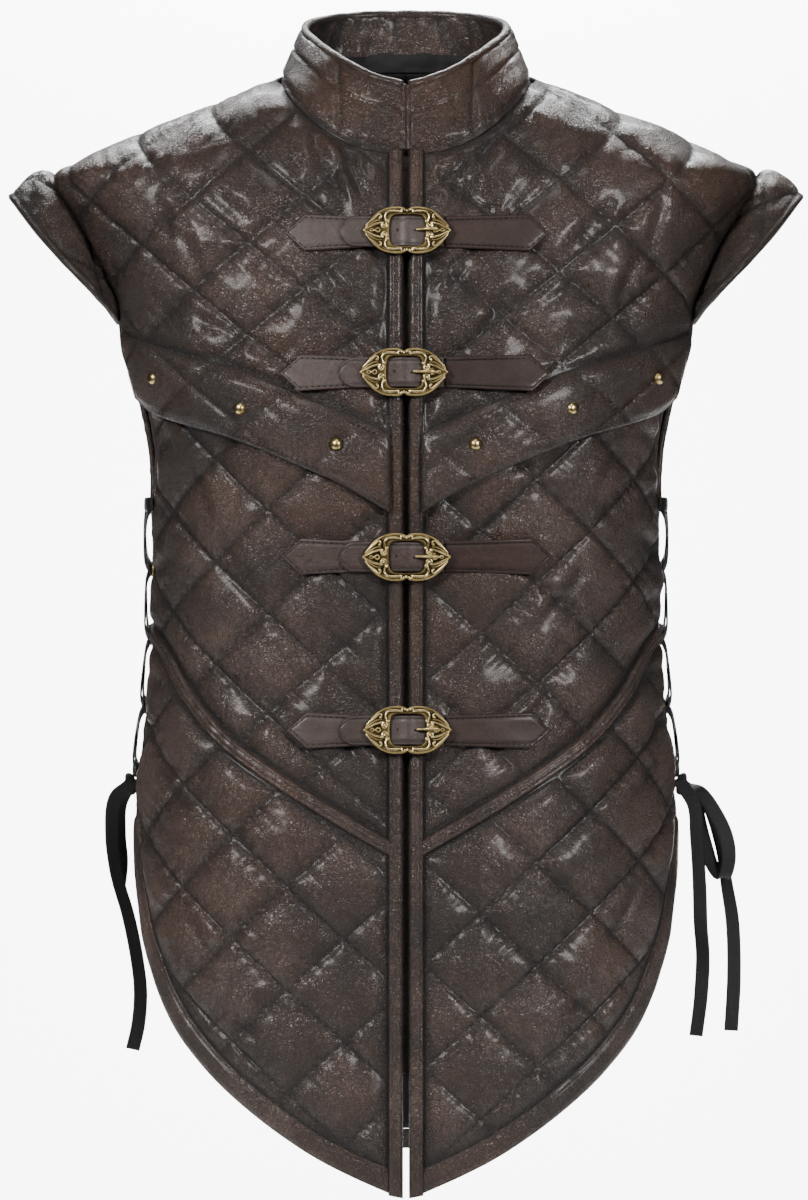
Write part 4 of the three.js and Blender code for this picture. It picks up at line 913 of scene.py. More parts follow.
mirror = np.array([-1.0, 1.0])
lines = [smoothLine(line, 90) for line in (backHemTop, backHem)]
net = ribbonNet(*[np.vstack([line[:-1], line[::-1] * mirror]) for line in lines], 330, 13)
across = np.linspace(0, 1, 13)[:, None]
relief = hemBand["fold"] * rise(np.minimum(across, 1 - across) / 0.3)
relief = relief + 0.3 * clouds(runAlong(net) / 14, across * 2, 75)
bandPiece("band_hem_back", "hem_back", net, wall + np.maximum(relief, 0), 0 * relief, onBack,
          0.35 + relief / 2.6)

# painted shade between the two front edges: leather set back there, darkened by its low crest
net = np.stack(np.meshgrid(np.linspace(-9, 9, 13), np.linspace(-50, -700, 200)), axis=-1)
out = -0.6 + 0.2 * clouds(net[..., 0] / 5, net[..., 1] / 12, 131)
points, faces, _ = wallOver(net, out, out - 1.4, onForm, False)
addPiece("front_underlap_painted_shade", points, faces, [quiltLeather], "leather", crest=0.25)

# the narrow binding round each armhole, on the yoke, on the front below it and on the back
binding = {"radius": 2.3, "inset": 0.6, "out": 1.6}
for side, node in sides:
    parts = []
    for form, key, high, low, count, seed in ((onForm, "front", -160, -219.5, 60, 140),
                                              (onForm, "front", -224, -300, 60, 140),
                                              (onBack, "back", -176, -300, 90, 144)):
        z = np.linspace(high, low, count)
        reach = quarter(z) if key == "front" else half(z) - quarter(z)
        u = reach - sideGap(z, key) - binding["inset"]
        line = form(u, z, (yokeLift(u, z) if low == -219.5 else 0 * z) + binding["out"])
        line[:, 0] *= side
        uneven = 1 + 0.1 * wave(z / 4.3, seed + side)
        parts.append(tube(line, binding["radius"] * uneven, 10, wide=(0, 1, 0)))
    points, faces = joined(parts)
    addPiece("armhole_binding_" + node, points, faces, [quiltLeather], "leather", crest=0.6)
print("back, bands and edges made")


# shoulder caps: height on the armhole seam, then the outer edge, front round to back
capRows = [
    (-171, 204, -43, -173), (-156, 213, -57, -161), (-138, 225, -66, -148), (-113, 246, -58, -126),
    (-91, 265, -38, -104), (-72, 279, -10, -85), (-72, 279, 12, -86), (-91, 265, 40, -105),
    (-113, 247, 58, -125), (-136, 229, 64, -143), (-154, 214, 58, -157), (-168, 208, 45, -166),
]
cap = {"long": 330, "wide": 62, "rise": 9, "soft": 0.62, "rim": 1.3, "groove": 0.5, "rows": 26,
       "columns": 190}


def normalsOf(net):
    normal = np.cross(np.gradient(net, axis=1), np.gradient(net, axis=0))
    return normal / np.maximum(np.linalg.norm(normal, axis=-1)[..., None], 1e-9)


def capNet(across, along):
    heights = throughPoints([(i, row[0]) for i, row in enumerate(capRows)], 24)
    edge = throughPoints([row[1:] for row in capRows], 24)
    at = np.linspace(0, len(edge) - 1, along)
    edge = np.stack([np.interp(at, np.arange(len(edge)), edge[:, k]) for k in range(3)], axis=1)
    z = np.minimum(np.interp(at, np.arange(len(heights)), heights[:, 1]), -70)
    t = np.linspace(0, 1, along)
    gap = np.where(t > 0.5, sideGap(z, "back") - 7.2, 7.2 - sideGap(z, "front"))
    seamLine = onForm(quarter(z) + gap, z, 3.0 + 0 * z)
    s = np.linspace(0, 1, across)[:, None]
    net = seamLine[None] * (1 - s[..., None]) + edge[None] * s[..., None]
    net[..., 2] += cap["rise"] * np.sin(np.pi * s ** 0.65) * np.sin(np.pi * t)[None]
    return net, s, t[None]


for side, node in sides:
    net, s, t = capNet(cap["rows"], cap["columns"])
    normal = normalsOf(net)
    if normal[..., 2].mean() < 0:
        normal = -normal
    long, wide = t * cap["long"], s * cap["wide"]
    edge = rise(np.minimum(s, 1 - s) / 0.3) * rise(np.minimum(t, 1 - t) / 0.06)
    relief = quiltRelief(long, wide, (40 if side > 0 else 62, 30, 42, 44), 90 + side) * cap["soft"] * edge
    relief = relief + cap["rim"] * lineAt(s, 0.955, 0.035) - cap["groove"] * lineAt(s, 0.88, 0.02)
    relief = relief + 0.3 * wave(long / 6, 97 + side) * np.exp(-s / 0.12) * rise(s / 0.05)
    outer = net + normal * (wall + np.maximum(relief, 0))[..., None]
    inner = net + normal * (0.25 * clouds(long / 14, wide / 12, 99))[..., None]
    outer[..., 0] *= side
    inner[..., 0] *= side
    points, faces, split = shell(outer, inner, side < 0)
    # painted shade in the cap's quilted valleys and a painted highlight on its puffs, through the crest
    crest = np.concatenate([crestOf(np.maximum(relief, 0) * 1.5).reshape(-1), np.full(relief.size, 0.5)])
    piece = addPiece("shoulder_cap_" + node, points, faces, [quiltLeather, lining], "leather", "cap_" + node,
                     np.arange(len(faces)) >= split, crest)


# stand collar: base seam on the form, and the rim above it, front round to centre back
collarFront = [(3, -52.5, 2.5, -81, -6), (26, -49.5, 25, -75, 1), (48, -40.5, 46, -58, 13),
               (68, -25, 62, -34, 25), (83, -5, 70, -6, 35)]
collarBack = [(0.75, 6, 66, 24, 43), (0.5, 9, 48, 44, 48), (0.25, 11, 24, 54, 50.5), (0, 11.5, 0, 57, 51)]
collar = {"tall": 66, "row": 38, "seam": 46, "puff": 2.5, "columns": 260, "rows": 38, "under": -0.09,
          "roll": 3.2, "end": 2.9, "facing": 0.28}
places = [(reachOf(x, z), z) for x, z, _, _, _ in collarFront]
places += [(float(half(z) * (1 - share) + quarter(z) * share), z) for share, z, _, _, _ in collarBack]
places = np.array(places, float)
base = onForm(places[:, 0], places[:, 1], 1 + 0 * places[:, 0]) + (0, 0, 1)
rim = np.array([row[2:] for row in collarFront + collarBack], float)
base, rim = [evenly(np.vstack([line * (-1, 1, 1), line[-2::-1]]), collar["columns"])
             for line in (throughPoints(base, 16), throughPoints(rim, 16))]
s = np.linspace(collar["under"], 1, collar["rows"])[:, None]
net = (base[None] * (1 - s[..., None]) + rim[None] * s[..., None])[::-1]
s = s[::-1]
normal = normalsOf(net)
if normal[10, 130, 1] < 0:
    normal = -normal
run = np.linspace(0, lengthOf(base), collar["columns"])[None]
middle = run[0, -1] / 2
tall = s * collar["tall"]
above = collar["tall"] - tall
behind = np.minimum.reduce([np.abs(run - middle - k * middle * 0.36) for k in (-1, 0, 1)])
seams = np.minimum(behind, np.where(net[..., 1] < 0, np.abs(np.abs(net[..., 0]) - collar["seam"]), 99))
row = np.abs(tall - collar["row"])
pinch = (1 - np.exp(-seams / 2.2)) * (1 - 0.95 * np.exp(-row / 1.8))
puffed = collar["puff"] * pinch * rise(np.minimum(tall, above) / 9) + 0.6 * clouds(run / 15, tall / 14, 101)
puffed = puffed + 0.45 * wave(run / 5 + tall / 30, 103) * np.exp(-tall / 9)
puffed = puffed + 0.4 * wave(run / 4.5, 104) * np.exp(-row / 6)
puffed = puffed + 0.5 * wave(run / 7 + tall / 60, 105) * np.exp(-above / 20)
outer = net + normal * (wall + np.maximum(puffed, 0))[..., None]
wrinkle = 0.8 * wave(run / 9 + tall / 34, 106) + 0.55 * wave(run / 4.2 - tall / 50, 109)
wrinkle = rise(above / 8) * rise(tall / 20) * wrinkle + 0.4 * clouds(run / 12, tall / 10, 107)
inner = net - normal * (0.9 + wrinkle)[..., None]
points, faces, split = shell(outer, inner, False)
# leather faces the upper part of the inside, black cloth the rest
kinds = np.zeros(len(faces), np.int32)
facingEnd = collar["facing"] + 0.025 * wave(run[:, :-1] / 16, 110)
kinds[split:] = (s[:-1] < facingEnd).reshape(-1)
# painted shade in the collar's pinched seams and in the hollows of its inside wrinkles, through the crest
crest = np.concatenate([(0.25 + puffed / 2.6).reshape(-1), (0.55 + wrinkle / 2).reshape(-1)])
rolled = net[0] + normal[0] * 1.6 + (0, 0, 0.3)
parts = [(points, faces), tube(rolled, collar["roll"] + 0.35 * wave(run[0] / 8, 108), 12, wide=normal[0])]
for column, way in ((0, 1), (-1, -1)):
    end = evenly(outer[:-3, column][::-1] * 0.5 + inner[:-3, column][::-1] * 0.5, 40)
    end[:, 0] -= 0.9 * np.sign(end[:, 0])
    radius = collar["end"] + 0.2 * wave(np.arange(40) / 2.7, 112 + way)
    parts.append(tube(end, radius, 12, wide=(0, 1, 0)))
crest = np.concatenate([crest] + [np.full(len(p), 0.65) for p, f in parts[1:]])
kinds = np.concatenate([kinds] + [np.zeros(len(f), np.int32) for p, f in parts[1:]])
points, faces = joined(parts)
addPiece("stand_collar", points, faces, [quiltLeather, lining], "leather", "collar", kinds, crest)
collarRows, collarFacing = outer, normal

# the black lining that shows in the neck and the armholes
heights = np.linspace(0, -300, 50)
reach = np.interp(-heights, [0, 22, 90, 130, 300], [60, 96, 110, 300, 300])
reach = np.minimum(reach, backReach(heights) - 6)
u = np.linspace(-1, 1, 72)[None] * reach[:, None]
z = np.broadcast_to(heights[:, None], u.shape)
out = -1.6 - 5 * np.clip((z + 150) / 150, 0, 1) - 0.6 * np.abs(clouds(u / 26, z / 34, 111))
points, faces, _ = wallOver(np.stack([u, z], axis=-1), out, out - 1.0, onBack, True)
piece = addPiece("back_lining", points, faces, [lining], "lining", "lining_back")
print("caps, collar and lining made")




# straps
strap = {"thick": 2.2, "gap": 0.7, "shoulder": 12.7, "throat": 10.5, "arrow": 14, "halfWidth": 10.5,
         "innerLeft": -30, "innerRight": 26.4, "tongueFrom": -45, "tongueTo": 26, "stitchInset": 2.3,
         "rounded": 1.1, "groove": 0.45, "dome": 1.3}
strapRows = [
    {"z": -111.5, "left": -84, "right": 99, "buckle": 0.7, "sink": 0},
    {"z": -208, "left": -86, "right": 99, "buckle": -1.4, "sink": 0},
    {"z": -336, "left": -86, "right": 101, "buckle": 0.3, "sink": 0.8},
    {"z": -459, "left": -82, "right": 100, "buckle": 1, "sink": 0},
]
for number, row in enumerate(strapRows, 1):
    row["label"] = "row%d" % number


# how far the outside of the quilting lies off the form
def overlay(u, z):
    near = (distanceTo(yokeEdge, np.abs(u), z) < 80) & (np.asarray(z) > -300)
    return skin + seam + np.where(near, yokeLift(u, z), 0.0)


# a strap of leather: its half width at each place along it, edges rounded and pressed in
def strapPiece(name, node, us, halfWidths, z, level, material, dome=None):
    turn = np.linspace(-1, 1, 17)
    across = np.sign(turn) * (1 - (1 - np.abs(turn)) ** 1.6)
    u = np.broadcast_to(us[:, None], (len(us), len(turn)))
    heights = z + halfWidths[:, None] * across[None]
    fromEdge = (1 - np.abs(across))[None] * halfWidths[:, None]
    rounding = np.clip(1 - fromEdge / strap["rounded"], 0, 1) ** 2 * 0.75
    groove = strap["groove"] * lineAt(fromEdge, strap["stitchInset"], 0.5)
    lie = overlay(u, heights) + level + 0.12 * clouds(u / 15, heights / 9, 121)
    if dome is not None:
        lie = lie + strap["dome"] * lineAt(u, dome + 0.6, 4.6)
    high = onForm(u, heights, lie + strap["thick"] - rounding - groove)
    low = onForm(u, heights, lie + rounding * 0.6)
    points, faces, _ = shell(high, low, False)
    # painted shade in the stitching groove: the crest drops where the groove is pressed in
    crest = np.concatenate([(0.6 - groove * 1.4).reshape(-1), np.full(groove.size, 0.5)])
    addPiece(name, points, faces, [material], "strap", node, crest=crest)


holes = []
for row in strapRows:
    for tip, end, word, material in ((row["left"], strap["innerLeft"], "right", strapLeather),
                                     (row["right"], strap["innerRight"], "left", brownStrap)):
        shoulder = tip + math.copysign(strap["arrow"], end - tip)
        us = np.concatenate([np.linspace(tip, shoulder, 16)[:-1], np.linspace(shoulder, end, 40)])
        run = np.abs(us - tip)
        body = np.interp(run, [strap["arrow"], abs(end - tip)], [strap["shoulder"], strap["throat"]])
        widths = np.where(run < strap["arrow"], strap["shoulder"] * run / strap["arrow"], body)
        strapPiece("%s_pointed_tab_%s" % (row["label"], word), "%s_tab_%s" % (row["label"], word), us,
                   np.maximum(widths, 0.25), row["z"], -row["sink"], material)
    radius, begin = strap["halfWidth"], strap["tongueFrom"]
    us = np.concatenate([begin + radius * (1 - np.cos(np.linspace(0.05, np.pi / 2, 18)[:-1])),
                         np.linspace(begin + radius, strap["tongueTo"], 44)])
    run = np.clip(us - begin, 0, radius)
    widths = np.sqrt(np.maximum(radius ** 2 - (radius - run) ** 2, 0.05))
    strapPiece(row["label"] + "_strap_tongue", row["label"] + "_tongue", us, widths, row["z"],
               strap["thick"] + strap["gap"] - row["sink"], strapLeather, row["buckle"])
    # each punched hole is a dark disc of painted shade, in the thread's colour
    turn = np.linspace(0, 2 * np.pi, 17)[:-1]
    u = row["buckle"] - 6.6 + 1.05 * np.cos(turn)
    z = row["z"] + 0.6 + 1.25 * np.sin(turn)
    disc = onForm(u, z, overlay(u, z) - row["sink"] + 2 * strap["thick"] + strap["gap"] + 0.22)
    disc = np.concatenate([disc, disc.mean(axis=0)[None]])
    holes.append((disc, [[k, (k + 1) % 16, 16] for k in range(16)]))
points, faces = joined(holes)
addPiece("punched_hole_painted_shade", points, faces, [thread], "strap", closed=False)
print("straps made")


# buckles: a pointed plate with scrolls above and below, leaves at its ends
buckle = {"left": -11.8, "right": 12.5, "high": 11.3, "corner": 5, "rings": 160, "ridge": 0.72}


# an arc or, where it grows, a spiral, in degrees
def arc(x, y, radius, start, end, count=14, grow=1.0):
    turn = np.radians(np.linspace(start, end, count))
    r = radius * np.linspace(1, grow, count)
    return np.stack([x + r * np.cos(turn), y + r * np.sin(turn)], axis=1)


# a tapered wire of brass lying on the plate
def raised(line, radius, height):
    lifted = np.column_stack([line, np.full(len(line), float(height))])
    taper = 0.35 + 0.65 * np.sin(np.linspace(0.12, 0.97, len(line)) * np.pi) ** 0.7
    return tube(lifted, radius * taper, 7, wide=(0, 0, 1))


# a round shape about an upright line, from its radii and heights
def lathe(profile, count):
    turns = np.linspace(0, 2 * np.pi, count + 1)[:-1]
    rings = [[(r * math.cos(a), r * math.sin(a), h) for a in turns] for r, h in profile]
    return np.array(rings, float).reshape(-1, 3), gridFaces(len(profile), count, closed=True)


def bead(x, y, radius, height):
    arch = [(radius * math.sin(a), height + radius * 0.8 * math.cos(a)) for a in np.linspace(0, np.pi, 6)]
    points, faces = lathe(arch, 8)
    return points + (x, y, 0), faces


def plateOutline():
    right = smoothLine([(31, 0), (28.6, 4.4), (25.4, 8.8), (20.8, 12.9), (14.4, 16), (7, 16.9),
                        (2.4, 16.2), (0.3, 14.7)], 40)
    upper = np.vstack([right, right[::-1] * (-1, 1)])
    return np.vstack([upper, upper[::-1][1:-1] * (1, -1)])


# the pierced plate: rings from the outline in to the window, rounded over at both
def plateBody():
    rings = buckle["rings"]
    outline = evenly(np.vstack([plateOutline(), plateOutline()[:1]]), rings + 1)[:-1]
    angle = np.arctan2(outline[:, 1], outline[:, 0])
    c, s = np.cos(angle), np.sin(angle)
    wide = np.where(c > 0, buckle["right"], -buckle["left"])
    corner = buckle["corner"]
    reach = (np.abs(c / wide) ** corner + np.abs(s / buckle["high"]) ** corner) ** (-1 / corner)
    window = np.stack([c * reach, s * reach], axis=1)
    profile = [(0.0, 0.0), (0.0, 1.1), (0.06, 1.9), (0.16, 1.6), (0.5, 1.2), (0.84, 1.7), (0.94, 1.9),
               (1.0, 1.0), (1.0, 0.0)]
    points = [np.column_stack([outline * (1 - t) + window * t, np.full(rings, h)]) for t, h in profile]
    last = (len(profile) - 1) * rings
    bottom = np.array([[last + k, last + (k + 1) % rings, (k + 1) % rings, k] for k in range(rings)])
    return np.concatenate(points), np.concatenate([gridFaces(len(profile), rings, closed=True), bottom])


# the scrolls of one quarter: line, radius and height
scrolls = [
    # the curl that rounds off the window's corner
    (np.vstack([arc(2.9, 13.9, 1.2, 200, -60, 12, 0.9), [(6.4, 13.5), (10.4, 13.6)],
                arc(11.4, 9.6, 4.0, 72, -30, 12), arc(13.6, 6.5, 1.2, -10, -250, 12, 0.5)]), 0.92, 2.5),
    # the leaf's large volute and its stem
    (np.vstack([arc(15.9, 3.4, 1.9, -250, 70, 20, 1.0),
                [(19.2, 5.0), (23.2, 3.9), (27.0, 1.7), (29.4, 0.7)]]), 0.88, 2.4),
    # its outer fold, and a fine one between
    (np.vstack([[(29.0, 2.9), (26.0, 6.2), (22.2, 9.3)], arc(19.4, 9.4, 2.0, 70, 300, 16, 0.5)]), 0.82, 2.4),
    (smoothLine([(28.2, 2.0), (24.6, 5.0), (20.6, 6.9), (17.6, 7.0)], 14), 0.5, 2.3),
    # a leaf in the middle of the end
    (smoothLine([(18.6, 0.0), (20.2, 1.5), (22.0, 0.5), (23.4, 0.0)], 10), 0.6, 2.3),
    (smoothLine([(23.0, 0.0), (24.6, 1.0), (26.2, 0.0)], 8), 0.5, 2.3),
    # the fold along the top
    (smoothLine([(1.0, 14.6), (5.4, 15.7), (9.6, 15.6), (13.8, 14.4), (17.0, 12.2)], 16), 0.45, 2.2),
]
# the beads of one quarter: place, radius and height
beads = [(x, y, 0.42, 2.2) for x, y in smoothLine([(3.6, 14.9), (8.2, 15.0), (12.6, 13.4), (16.2, 10.6)], 9)]
beads += [(13.7, 6.4, 1.0, 2.5), (15.9, 3.4, 1.15, 2.5), (19.0, 9.0, 0.8, 2.5)]


def buckleParts():
    outline = plateOutline() * 0.96
    edge = np.column_stack([outline, np.full(len(outline), 1.9)])
    parts = [plateBody(), tube(edge, buckle["ridge"], 7, wide=(0, 0, 1), closed=True)]
    for sx in (1, -1):
        for sy in (1, -1):
            for line, radius, height in scrolls:
                parts.append(raised(evenly(line, max(len(line), 14)) * (sx, sy), radius, height))
            for x, y, radius, height in beads:
                parts.append(bead(x * sx, y * sy, radius, height))
        parts.append(bead(30.0 * sx, 0, 1.3, 1.7))
    parts.append(bead(0, 13.8, 1.2, 2.3))
    parts.append(bead(0, -13.8, 1.2, 2.3))
    return joined(parts)


# moves points drawn on a flat sheet to a place on the vest
def seated(points, at, facing, across):
    up = np.cross(facing, across)
    return at + points[:, :1] * across + points[:, 1:2] * up + points[:, 2:] * facing


platePoints, plateFaces = buckleParts()
plateCrest = np.clip((platePoints[:, 2] - 1.0) / 2.2, 0, 1)
prongLine = smoothLine([(21.2, 0.5, 4.0), (17.6, 0.5, 4.9), (13.2, 0.5, 4.3), (9.6, 0.5, 2.8),
                        (6.2, 0.5, 1.6)], 24)
prongPoints, prongFaces = joined([
    tube(prongLine, 1.2 * np.linspace(1.25, 0.6, 24) ** 0.8, 10, wide=(0, 0, 1)),
    tube([(19.6, -1.9, 3.1), (19.6, 0.5, 3.3), (19.6, 2.9, 3.1)], 1.35, 12, wide=(1, 0, 0)),
])
for row in strapRows:
    level = float(overlay(row["buckle"], row["z"])) - row["sink"] + 2 * (strap["thick"] + strap["gap"])
    seat = (onForm(row["buckle"], row["z"], level), formNormal(0.0, row["z"]), np.array([1.0, 0, 0]))
    addPiece(row["label"] + "_scroll_buckle", seated(platePoints, *seat), plateFaces, [brass], "brass",
             row["label"] + "_buckle", crest=plateCrest)
    addPiece(row["label"] + "_buckle_prong", seated(prongPoints, *seat), prongFaces, [brass], "brass",
             row["label"] + "_prong", crest=0.75)
print("buckles made")


# rivets: their places (x, z) and how far each is sunk
rivetSpots = [(47, -257.5, 0), (111, -232, 0), (168, -209, 0.8)]
rivetProfile = [(0.0, -1.2), (4.7, -1.2), (4.9, -0.3), (4.6, 0.2), (4.35, 0.6), (3.9, 1.5), (3.1, 2.4),
                (2.0, 3.0), (1.0, 3.25), (0.0, 3.3)]
rivetPoints, rivetFaces = lathe(rivetProfile, 24)
# painted shade round the foot of each rivet's dome and a painted highlight on its top
rivetShadeAndHighlight = [0.1, 0.1, 0.2, 0.35, 0.55, 0.7, 0.8, 0.85, 0.9, 0.9]
for side, node in sides:
    for number, (x, z, sink) in enumerate(rivetSpots, 1):
        u = reachOf(x, z)
        normal = formNormal(side * u, z)
        at = onForm(side * u, z, float(yokeLift(u, z)) + wall + 3.3 - sink)
        across = np.cross(normal, (0, 0, 1))
        across /= np.linalg.norm(across)
        label = "rivet_%s_%d" % (node, number)
        addPiece("domed_" + label, seated(rivetPoints, at, normal, across), rivetFaces, [brass], "brass",
                 label, crest=np.repeat(rivetShadeAndHighlight, 24))


# lacing
eyelets = [-299, -345, -394, -443, -488]
lace = {"inset": 6, "out": 7.3, "over": 1.0, "dip": 2.4, "ring": 4.6, "wire": 1.1}


def eyeletAt(z, key):
    gap = float(sideGap(z, key)) + lace["inset"]
    return float(quarter(z)) + (-gap if key == "front" else gap)


def crossing(fromZ, toZ, fromKey, toKey, out, side):
    t = np.linspace(0, 1, 20)
    u = eyeletAt(fromZ, fromKey) * (1 - t) + eyeletAt(toZ, toKey) * t
    lie = out - lace["dip"] * (1 - rise(np.minimum(t, 1 - t) / 0.18)) - 0.6 * np.sin(np.pi * t)
    line = onForm(u, fromZ + (toZ - fromZ) * t, lie)
    line[:, 0] *= side
    return flatTape(line, np.cross(line[-1] - line[0], (side, 0, 0)))


for side, node in sides:
    parts = [crossing(eyelets[0], eyelets[0], "front", "back", lace["out"], side)]
    for above, below in zip(eyelets[:-1], eyelets[1:]):
        parts.append(crossing(above, below, "front", "back", lace["out"], side))
        parts.append(crossing(above, below, "back", "front", lace["out"] + lace["over"], side))
    parts.append(crossing(eyelets[-1], eyelets[-1], "front", "back", lace["out"], side))
    points, faces = joined(parts)
    addPiece("laced_tape_" + node, points, faces, [tape], "tape", "lacing_" + node)
    rings = []
    turns = np.linspace(0, 2 * np.pi, 25)[:-1, None]
    for z in eyelets:
        for key in ("front", "back"):
            at = onForm(eyeletAt(z, key), z, wall + 0.9)
            normal = formNormal(eyeletAt(z, key), z)
            up = np.cross(normal, np.cross((0, 0, 1), normal))
            across = np.cross(normal, up)
            circle = at + lace["ring"] * (np.cos(turns) * across + np.sin(turns) * up)
            circle[:, 0] *= side
            rings.append(tube(circle, lace["wire"], 8, wide=normal * (side, 1, 1), flat=0.8, closed=True))
    points, faces = joined(rings)
    addPiece("eyelet_rings_" + node, points, faces, [brass], "brass", crest=0.55)

    # the knot that the loose ends hang from
    loops = []
    a = np.linspace(0, 2 * np.pi, 29)[:-1]
    for dz, dy, turn in ((0, 0, 0.2), (-3.5, 1, 1.3), (-1.5, -2, 2.3)):
        height = -494.5 + dz + 4.6 * np.sin(a) * math.sin(turn) + 2.0 * np.cos(a)
        circle = np.stack([195.5 + 2.6 * np.cos(a), dy + 7.0 * np.sin(a) * math.cos(turn), height], axis=1)
        circle[:, 0] *= side
        loops.append(tube(circle, 2.6, 10, wide=(0, 0, 1), flat=0.55, closed=True))
    points, faces = joined(loops)
    addPiece("lace_knot_" + node, points, faces, [tape], "tape")
print("rivets and lacing made")


# stitching: small lozenges of thread, joined into one mesh for each run of seams
stitch = {"length": 2.7, "pitch": 4.1, "radius": 0.42, "row": 3.6, "margin": 4.0}
stitchFaces = np.array([(0, 1, 2), (0, 3, 1), (0, 4, 3), (0, 2, 4),
                        (5, 2, 1), (5, 1, 3), (5, 3, 4), (5, 4, 2)])
stitchRuns = {}


# which points lie inside a closed outline
def insideOf(outline, u, z):
    inside = np.zeros(np.shape(u), bool)
    for a, b in zip(outline, np.roll(outline, -1, axis=0)):
        crosses = (a[1] > z) != (b[1] > z)
        with np.errstate(divide="ignore", invalid="ignore"):
            at = a[0] + (z - a[1]) * (b[0] - a[0]) / (b[1] - a[1])
        inside ^= crosses & (u < at)
    return inside


# adds stitches at these places, each lying along the seam on the surface
def sewPoints(name, middle, along, normal, length=stitch["length"], radius=stitch["radius"]):
    along = along / np.linalg.norm(along, axis=1)[:, None]
    normal = normal / np.linalg.norm(normal, axis=1)[:, None]
    aside = np.cross(along, normal) * radius
    ends = along * length / 2
    normal = normal * radius
    corners = np.stack([middle - ends - normal * 0.7, middle + normal, middle + aside, middle - aside,
                        middle - normal * 1.4, middle + ends - normal * 0.7], axis=1)
    faces = stitchFaces[None] + 6 * np.arange(len(middle))[:, None, None]
    stitchRuns.setdefault(name, []).append((corners.reshape(-1, 3), faces.reshape(-1, 3)))


# stitches along a line of pattern points (u, z) at the height out over the form
def sewAlong(name, line, place, out, pitch=stitch["row"], **sizes):
    at = evenly(line, max(int(lengthOf(line) / pitch), 2))
    u, z = at[:, 0], at[:, 1]
    step = np.gradient(at, axis=0) * 0.2
    level = out(u, z) if callable(out) else np.full(len(u), float(out))
    middle = place(u, z, level)
    along = place(u + step[:, 0], z + step[:, 1], level) - place(u - step[:, 0], z - step[:, 1], level)
    sewPoints(name, middle, along, place(u, z, level + 1.0) - middle, **sizes)


# stitches along the quilting's own lines, inside the panel
def sewQuilting(name, net, quilt, seed, place, lift):
    outline = outlineOf(net)[::3]
    cu, cz, wide, high = quilt
    diagonal = math.hypot(wide, high) / 2
    low, top = outline.min(axis=0), outline.max(axis=0)
    reach = int(max(top[0] - low[0], top[1] - low[1]) / min(wide, high)) + 12
    w = np.arange(-reach * diagonal * 2, reach * diagonal * 2, stitch["pitch"]) / diagonal
    for family in (1, -1):
        for v in range(-2 * reach, 2 * reach + 1, 2):
            u, z = cu + (v + w) / 2 * wide, cz + (v - w) / 2 * family * high
            keep = (u > low[0]) & (u < top[0]) & (z > low[1]) & (z < top[1])
            u, z = u[keep], z[keep]
            keep = insideOf(outline, u, z)
            if not keep.any():
                continue
            u, z = u[keep], z[keep]
            edge = distanceTo(outline, u, z, True)
            keep = edge > stitch["margin"]
            if not keep.any():
                continue
            u, z, edge = u[keep], z[keep], edge[keep]
            relief = quiltRelief(u, z, quilt, seed) * rise((edge - 3) / 12)
            level = (lift(u, z) if lift else 0) + wall + np.maximum(relief, 0) + 0.1
            du, dz = wide * 0.01, -high * 0.01 * family
            along = place(u + du, z + dz, level) - place(u - du, z - dz, level)
            middle = place(u, z, level)
            sewPoints(name, middle, along, place(u, z, level + 1.0) - middle)


def bandLevel(u, z):
    return yokeLift(u, z) + wall + 1.9


waistRow = carriedOn(smoothLine(waistSeam, 160))
yokeRow, bandRow = smoothLine(yokeEdge, 140), carriedOn(smoothLine(bandSeam, 140))
hemRow, backRow = smoothLine(hemLine, 220), smoothLine(backHem, 220)
cordRow = np.array([(frontEdge - 2.4, z) for z in np.linspace(-58, -775, 200)])
sideRow = np.array([(float(quarter(z) - sideGap(z, "front") - 2.6), z)
                    for z in np.linspace(-235, -512, 120)])
for side, node in sides:
    place = placeOn(onForm, side)
    backPlace = placeOn(onBack, side)
    for part, run in (("yoke", "front"), ("front", "front"), ("skirt", "skirt"), ("back", "back"),
                      ("skirt_back", "back")):
        sewQuilting("%s_%s" % (run, node), *panels["%s_%s" % (part, node)])
    # rows beside the seams: waist welt, yoke band, hem band, front edge and side edge
    for distance in (-2.1, 2.1):
        sewAlong("skirt_" + node, toEdge(beside(waistRow, distance))[2:-1], place, wall + 2.6, 3.4)
    sewAlong("front_" + node, toEdge(beside(yokeRow, -3.2))[3:-1], place, bandLevel)
    sewAlong("front_" + node, toEdge(beside(bandRow, 3.0))[3:-1], place, bandLevel)
    sewAlong("skirt_" + node, toEdge(beside(hemRow, -11.6))[4:-1], place, wall + 1.1)
    sewAlong("skirt_" + node, toEdge(beside(hemRow, -3.0))[4:-1], place, wall + 1.25)
    sewAlong("back_" + node, beside(backRow, -11.6)[4:-1], backPlace, wall + 1.1)
    sewAlong("front_" + node, cordRow, place, 6.9)
    sewAlong("skirt_" + node, sideRow, place, wall + 0.15)

for row in strapRows:
    for tip, end in ((row["left"], strap["innerLeft"]), (row["right"], strap["innerRight"])):
        way = math.copysign(1, end - tip)
        near, far = end - way, tip + way * (strap["arrow"] + 0.6)
        throat, shoulder = strap["throat"] - strap["stitchInset"], strap["shoulder"] - strap["stitchInset"]
        run = [(near, row["z"] + throat), (far, row["z"] + shoulder), (tip + way * 3.1, row["z"]),
               (far, row["z"] - shoulder), (near, row["z"] - throat)]
        for ends in zip(run[:-1], run[1:]):
            sewAlong("straps", np.array(ends, float), onForm,
                     lambda u, z: overlay(u, z) - row["sink"] + strap["thick"] - 0.2, 3.5,
                     length=2.5, radius=0.6)


def sewCollar(at):
    sewPoints("collar", at[:, :3], np.gradient(at[:, :3], axis=0), at[:, 3:])


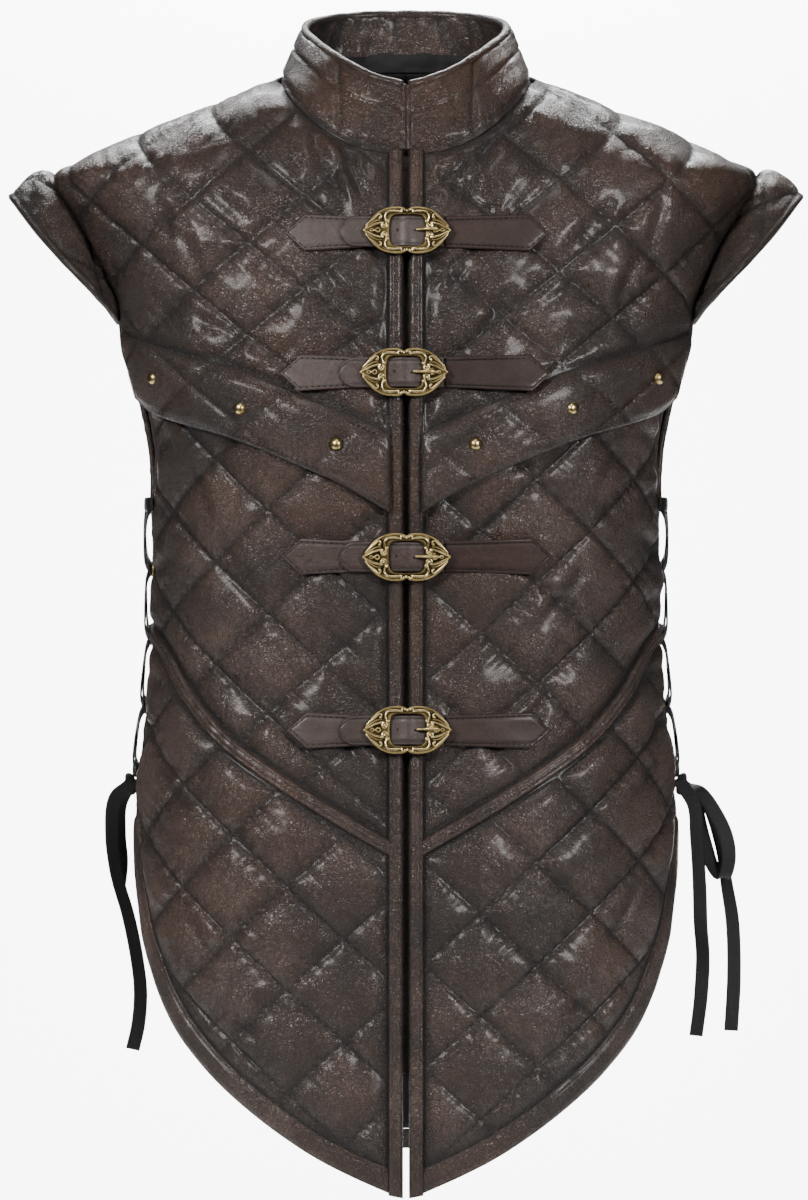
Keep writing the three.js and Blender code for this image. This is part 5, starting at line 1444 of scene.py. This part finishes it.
# the collar's middle row and its upright seams
at = collarRows[14] + collarFacing[14] * 0.1
sewCollar(evenly(np.hstack([at, collarFacing[14]]), int(lengthOf(at) / stitch["row"])))
upper, facing = collarRows[2:36], collarFacing[2:36]
for way in (1, -1):
    nearest = (np.abs(upper[..., 0] - way * collar["seam"]) + 99 * (upper[..., 1] > 0)).argmin(axis=1)
    at = upper[np.arange(len(upper)), nearest]
    sewCollar(evenly(np.hstack([at, facing[:, int(np.median(nearest))]]), 18))

for name, runs in stitchRuns.items():
    points, faces = joined(runs)
    addPiece("stitching_" + name, points, faces, [thread], "leather", smooth=False)
    print("stitches in", name, len(faces) // 8)


# studio
def softLight(name, at, size, power, colour, target=(0, 0, -0.36)):
    bpy.ops.object.light_add(type="AREA", location=at)
    light = bpy.context.object
    light.name = name
    light.data.size = size
    light.data.energy = power
    light.data.color = colour
    light.rotation_euler = (Vector(target) - Vector(at)).to_track_quat("-Z", "Y").to_euler()


softLight("key light", (-1.35, -2.1, 0.65), 0.6, 92, (1.0, 0.96, 0.93))
softLight("right light", (1.35, -2.2, 0.35), 0.5, 70, (1.0, 0.97, 0.96))
softLight("top light", (0.0, -1.2, 1.7), 0.5, 15, (1.0, 0.98, 0.97))
softLight("backdrop light", (0, 1.3, 1.3), 1.2, 420, (1.0, 1.0, 1.0), target=(0, 2.4, -0.35))
world = bpy.data.worlds.new("studio")
bpy.context.scene.world = world
world.use_nodes = True
world.node_tree.nodes["Background"].inputs["Color"].default_value = (0.95, 0.96, 1.0, 1)
world.node_tree.nodes["Background"].inputs["Strength"].default_value = 0.03

# a sweep of pale paper, in metres
backdrop = {"front": -0.6, "back": 2.4, "floor": -0.93, "half": 0.95, "top": 0.24, "bend": 0.9}
curve = [(backdrop["front"], backdrop["floor"])]
for turn in np.linspace(0, math.pi / 2, 14):
    curve.append((backdrop["back"] + backdrop["bend"] * (math.sin(turn) - 1),
                  backdrop["floor"] + backdrop["bend"] * (1 - math.cos(turn))))
curve.append((backdrop["back"], backdrop["top"]))
sweep = [(x / mm, y / mm, z / mm) for y, z in curve for x in (-backdrop["half"], backdrop["half"])]
paper = Look("paper")
paper.shader.inputs["Base Color"].default_value = (0.9, 0.9, 0.9, 1)
paper.shader.inputs["Roughness"].default_value = 0.9
addPiece("backdrop", sweep, gridFaces(len(curve), 2), [paper.material])
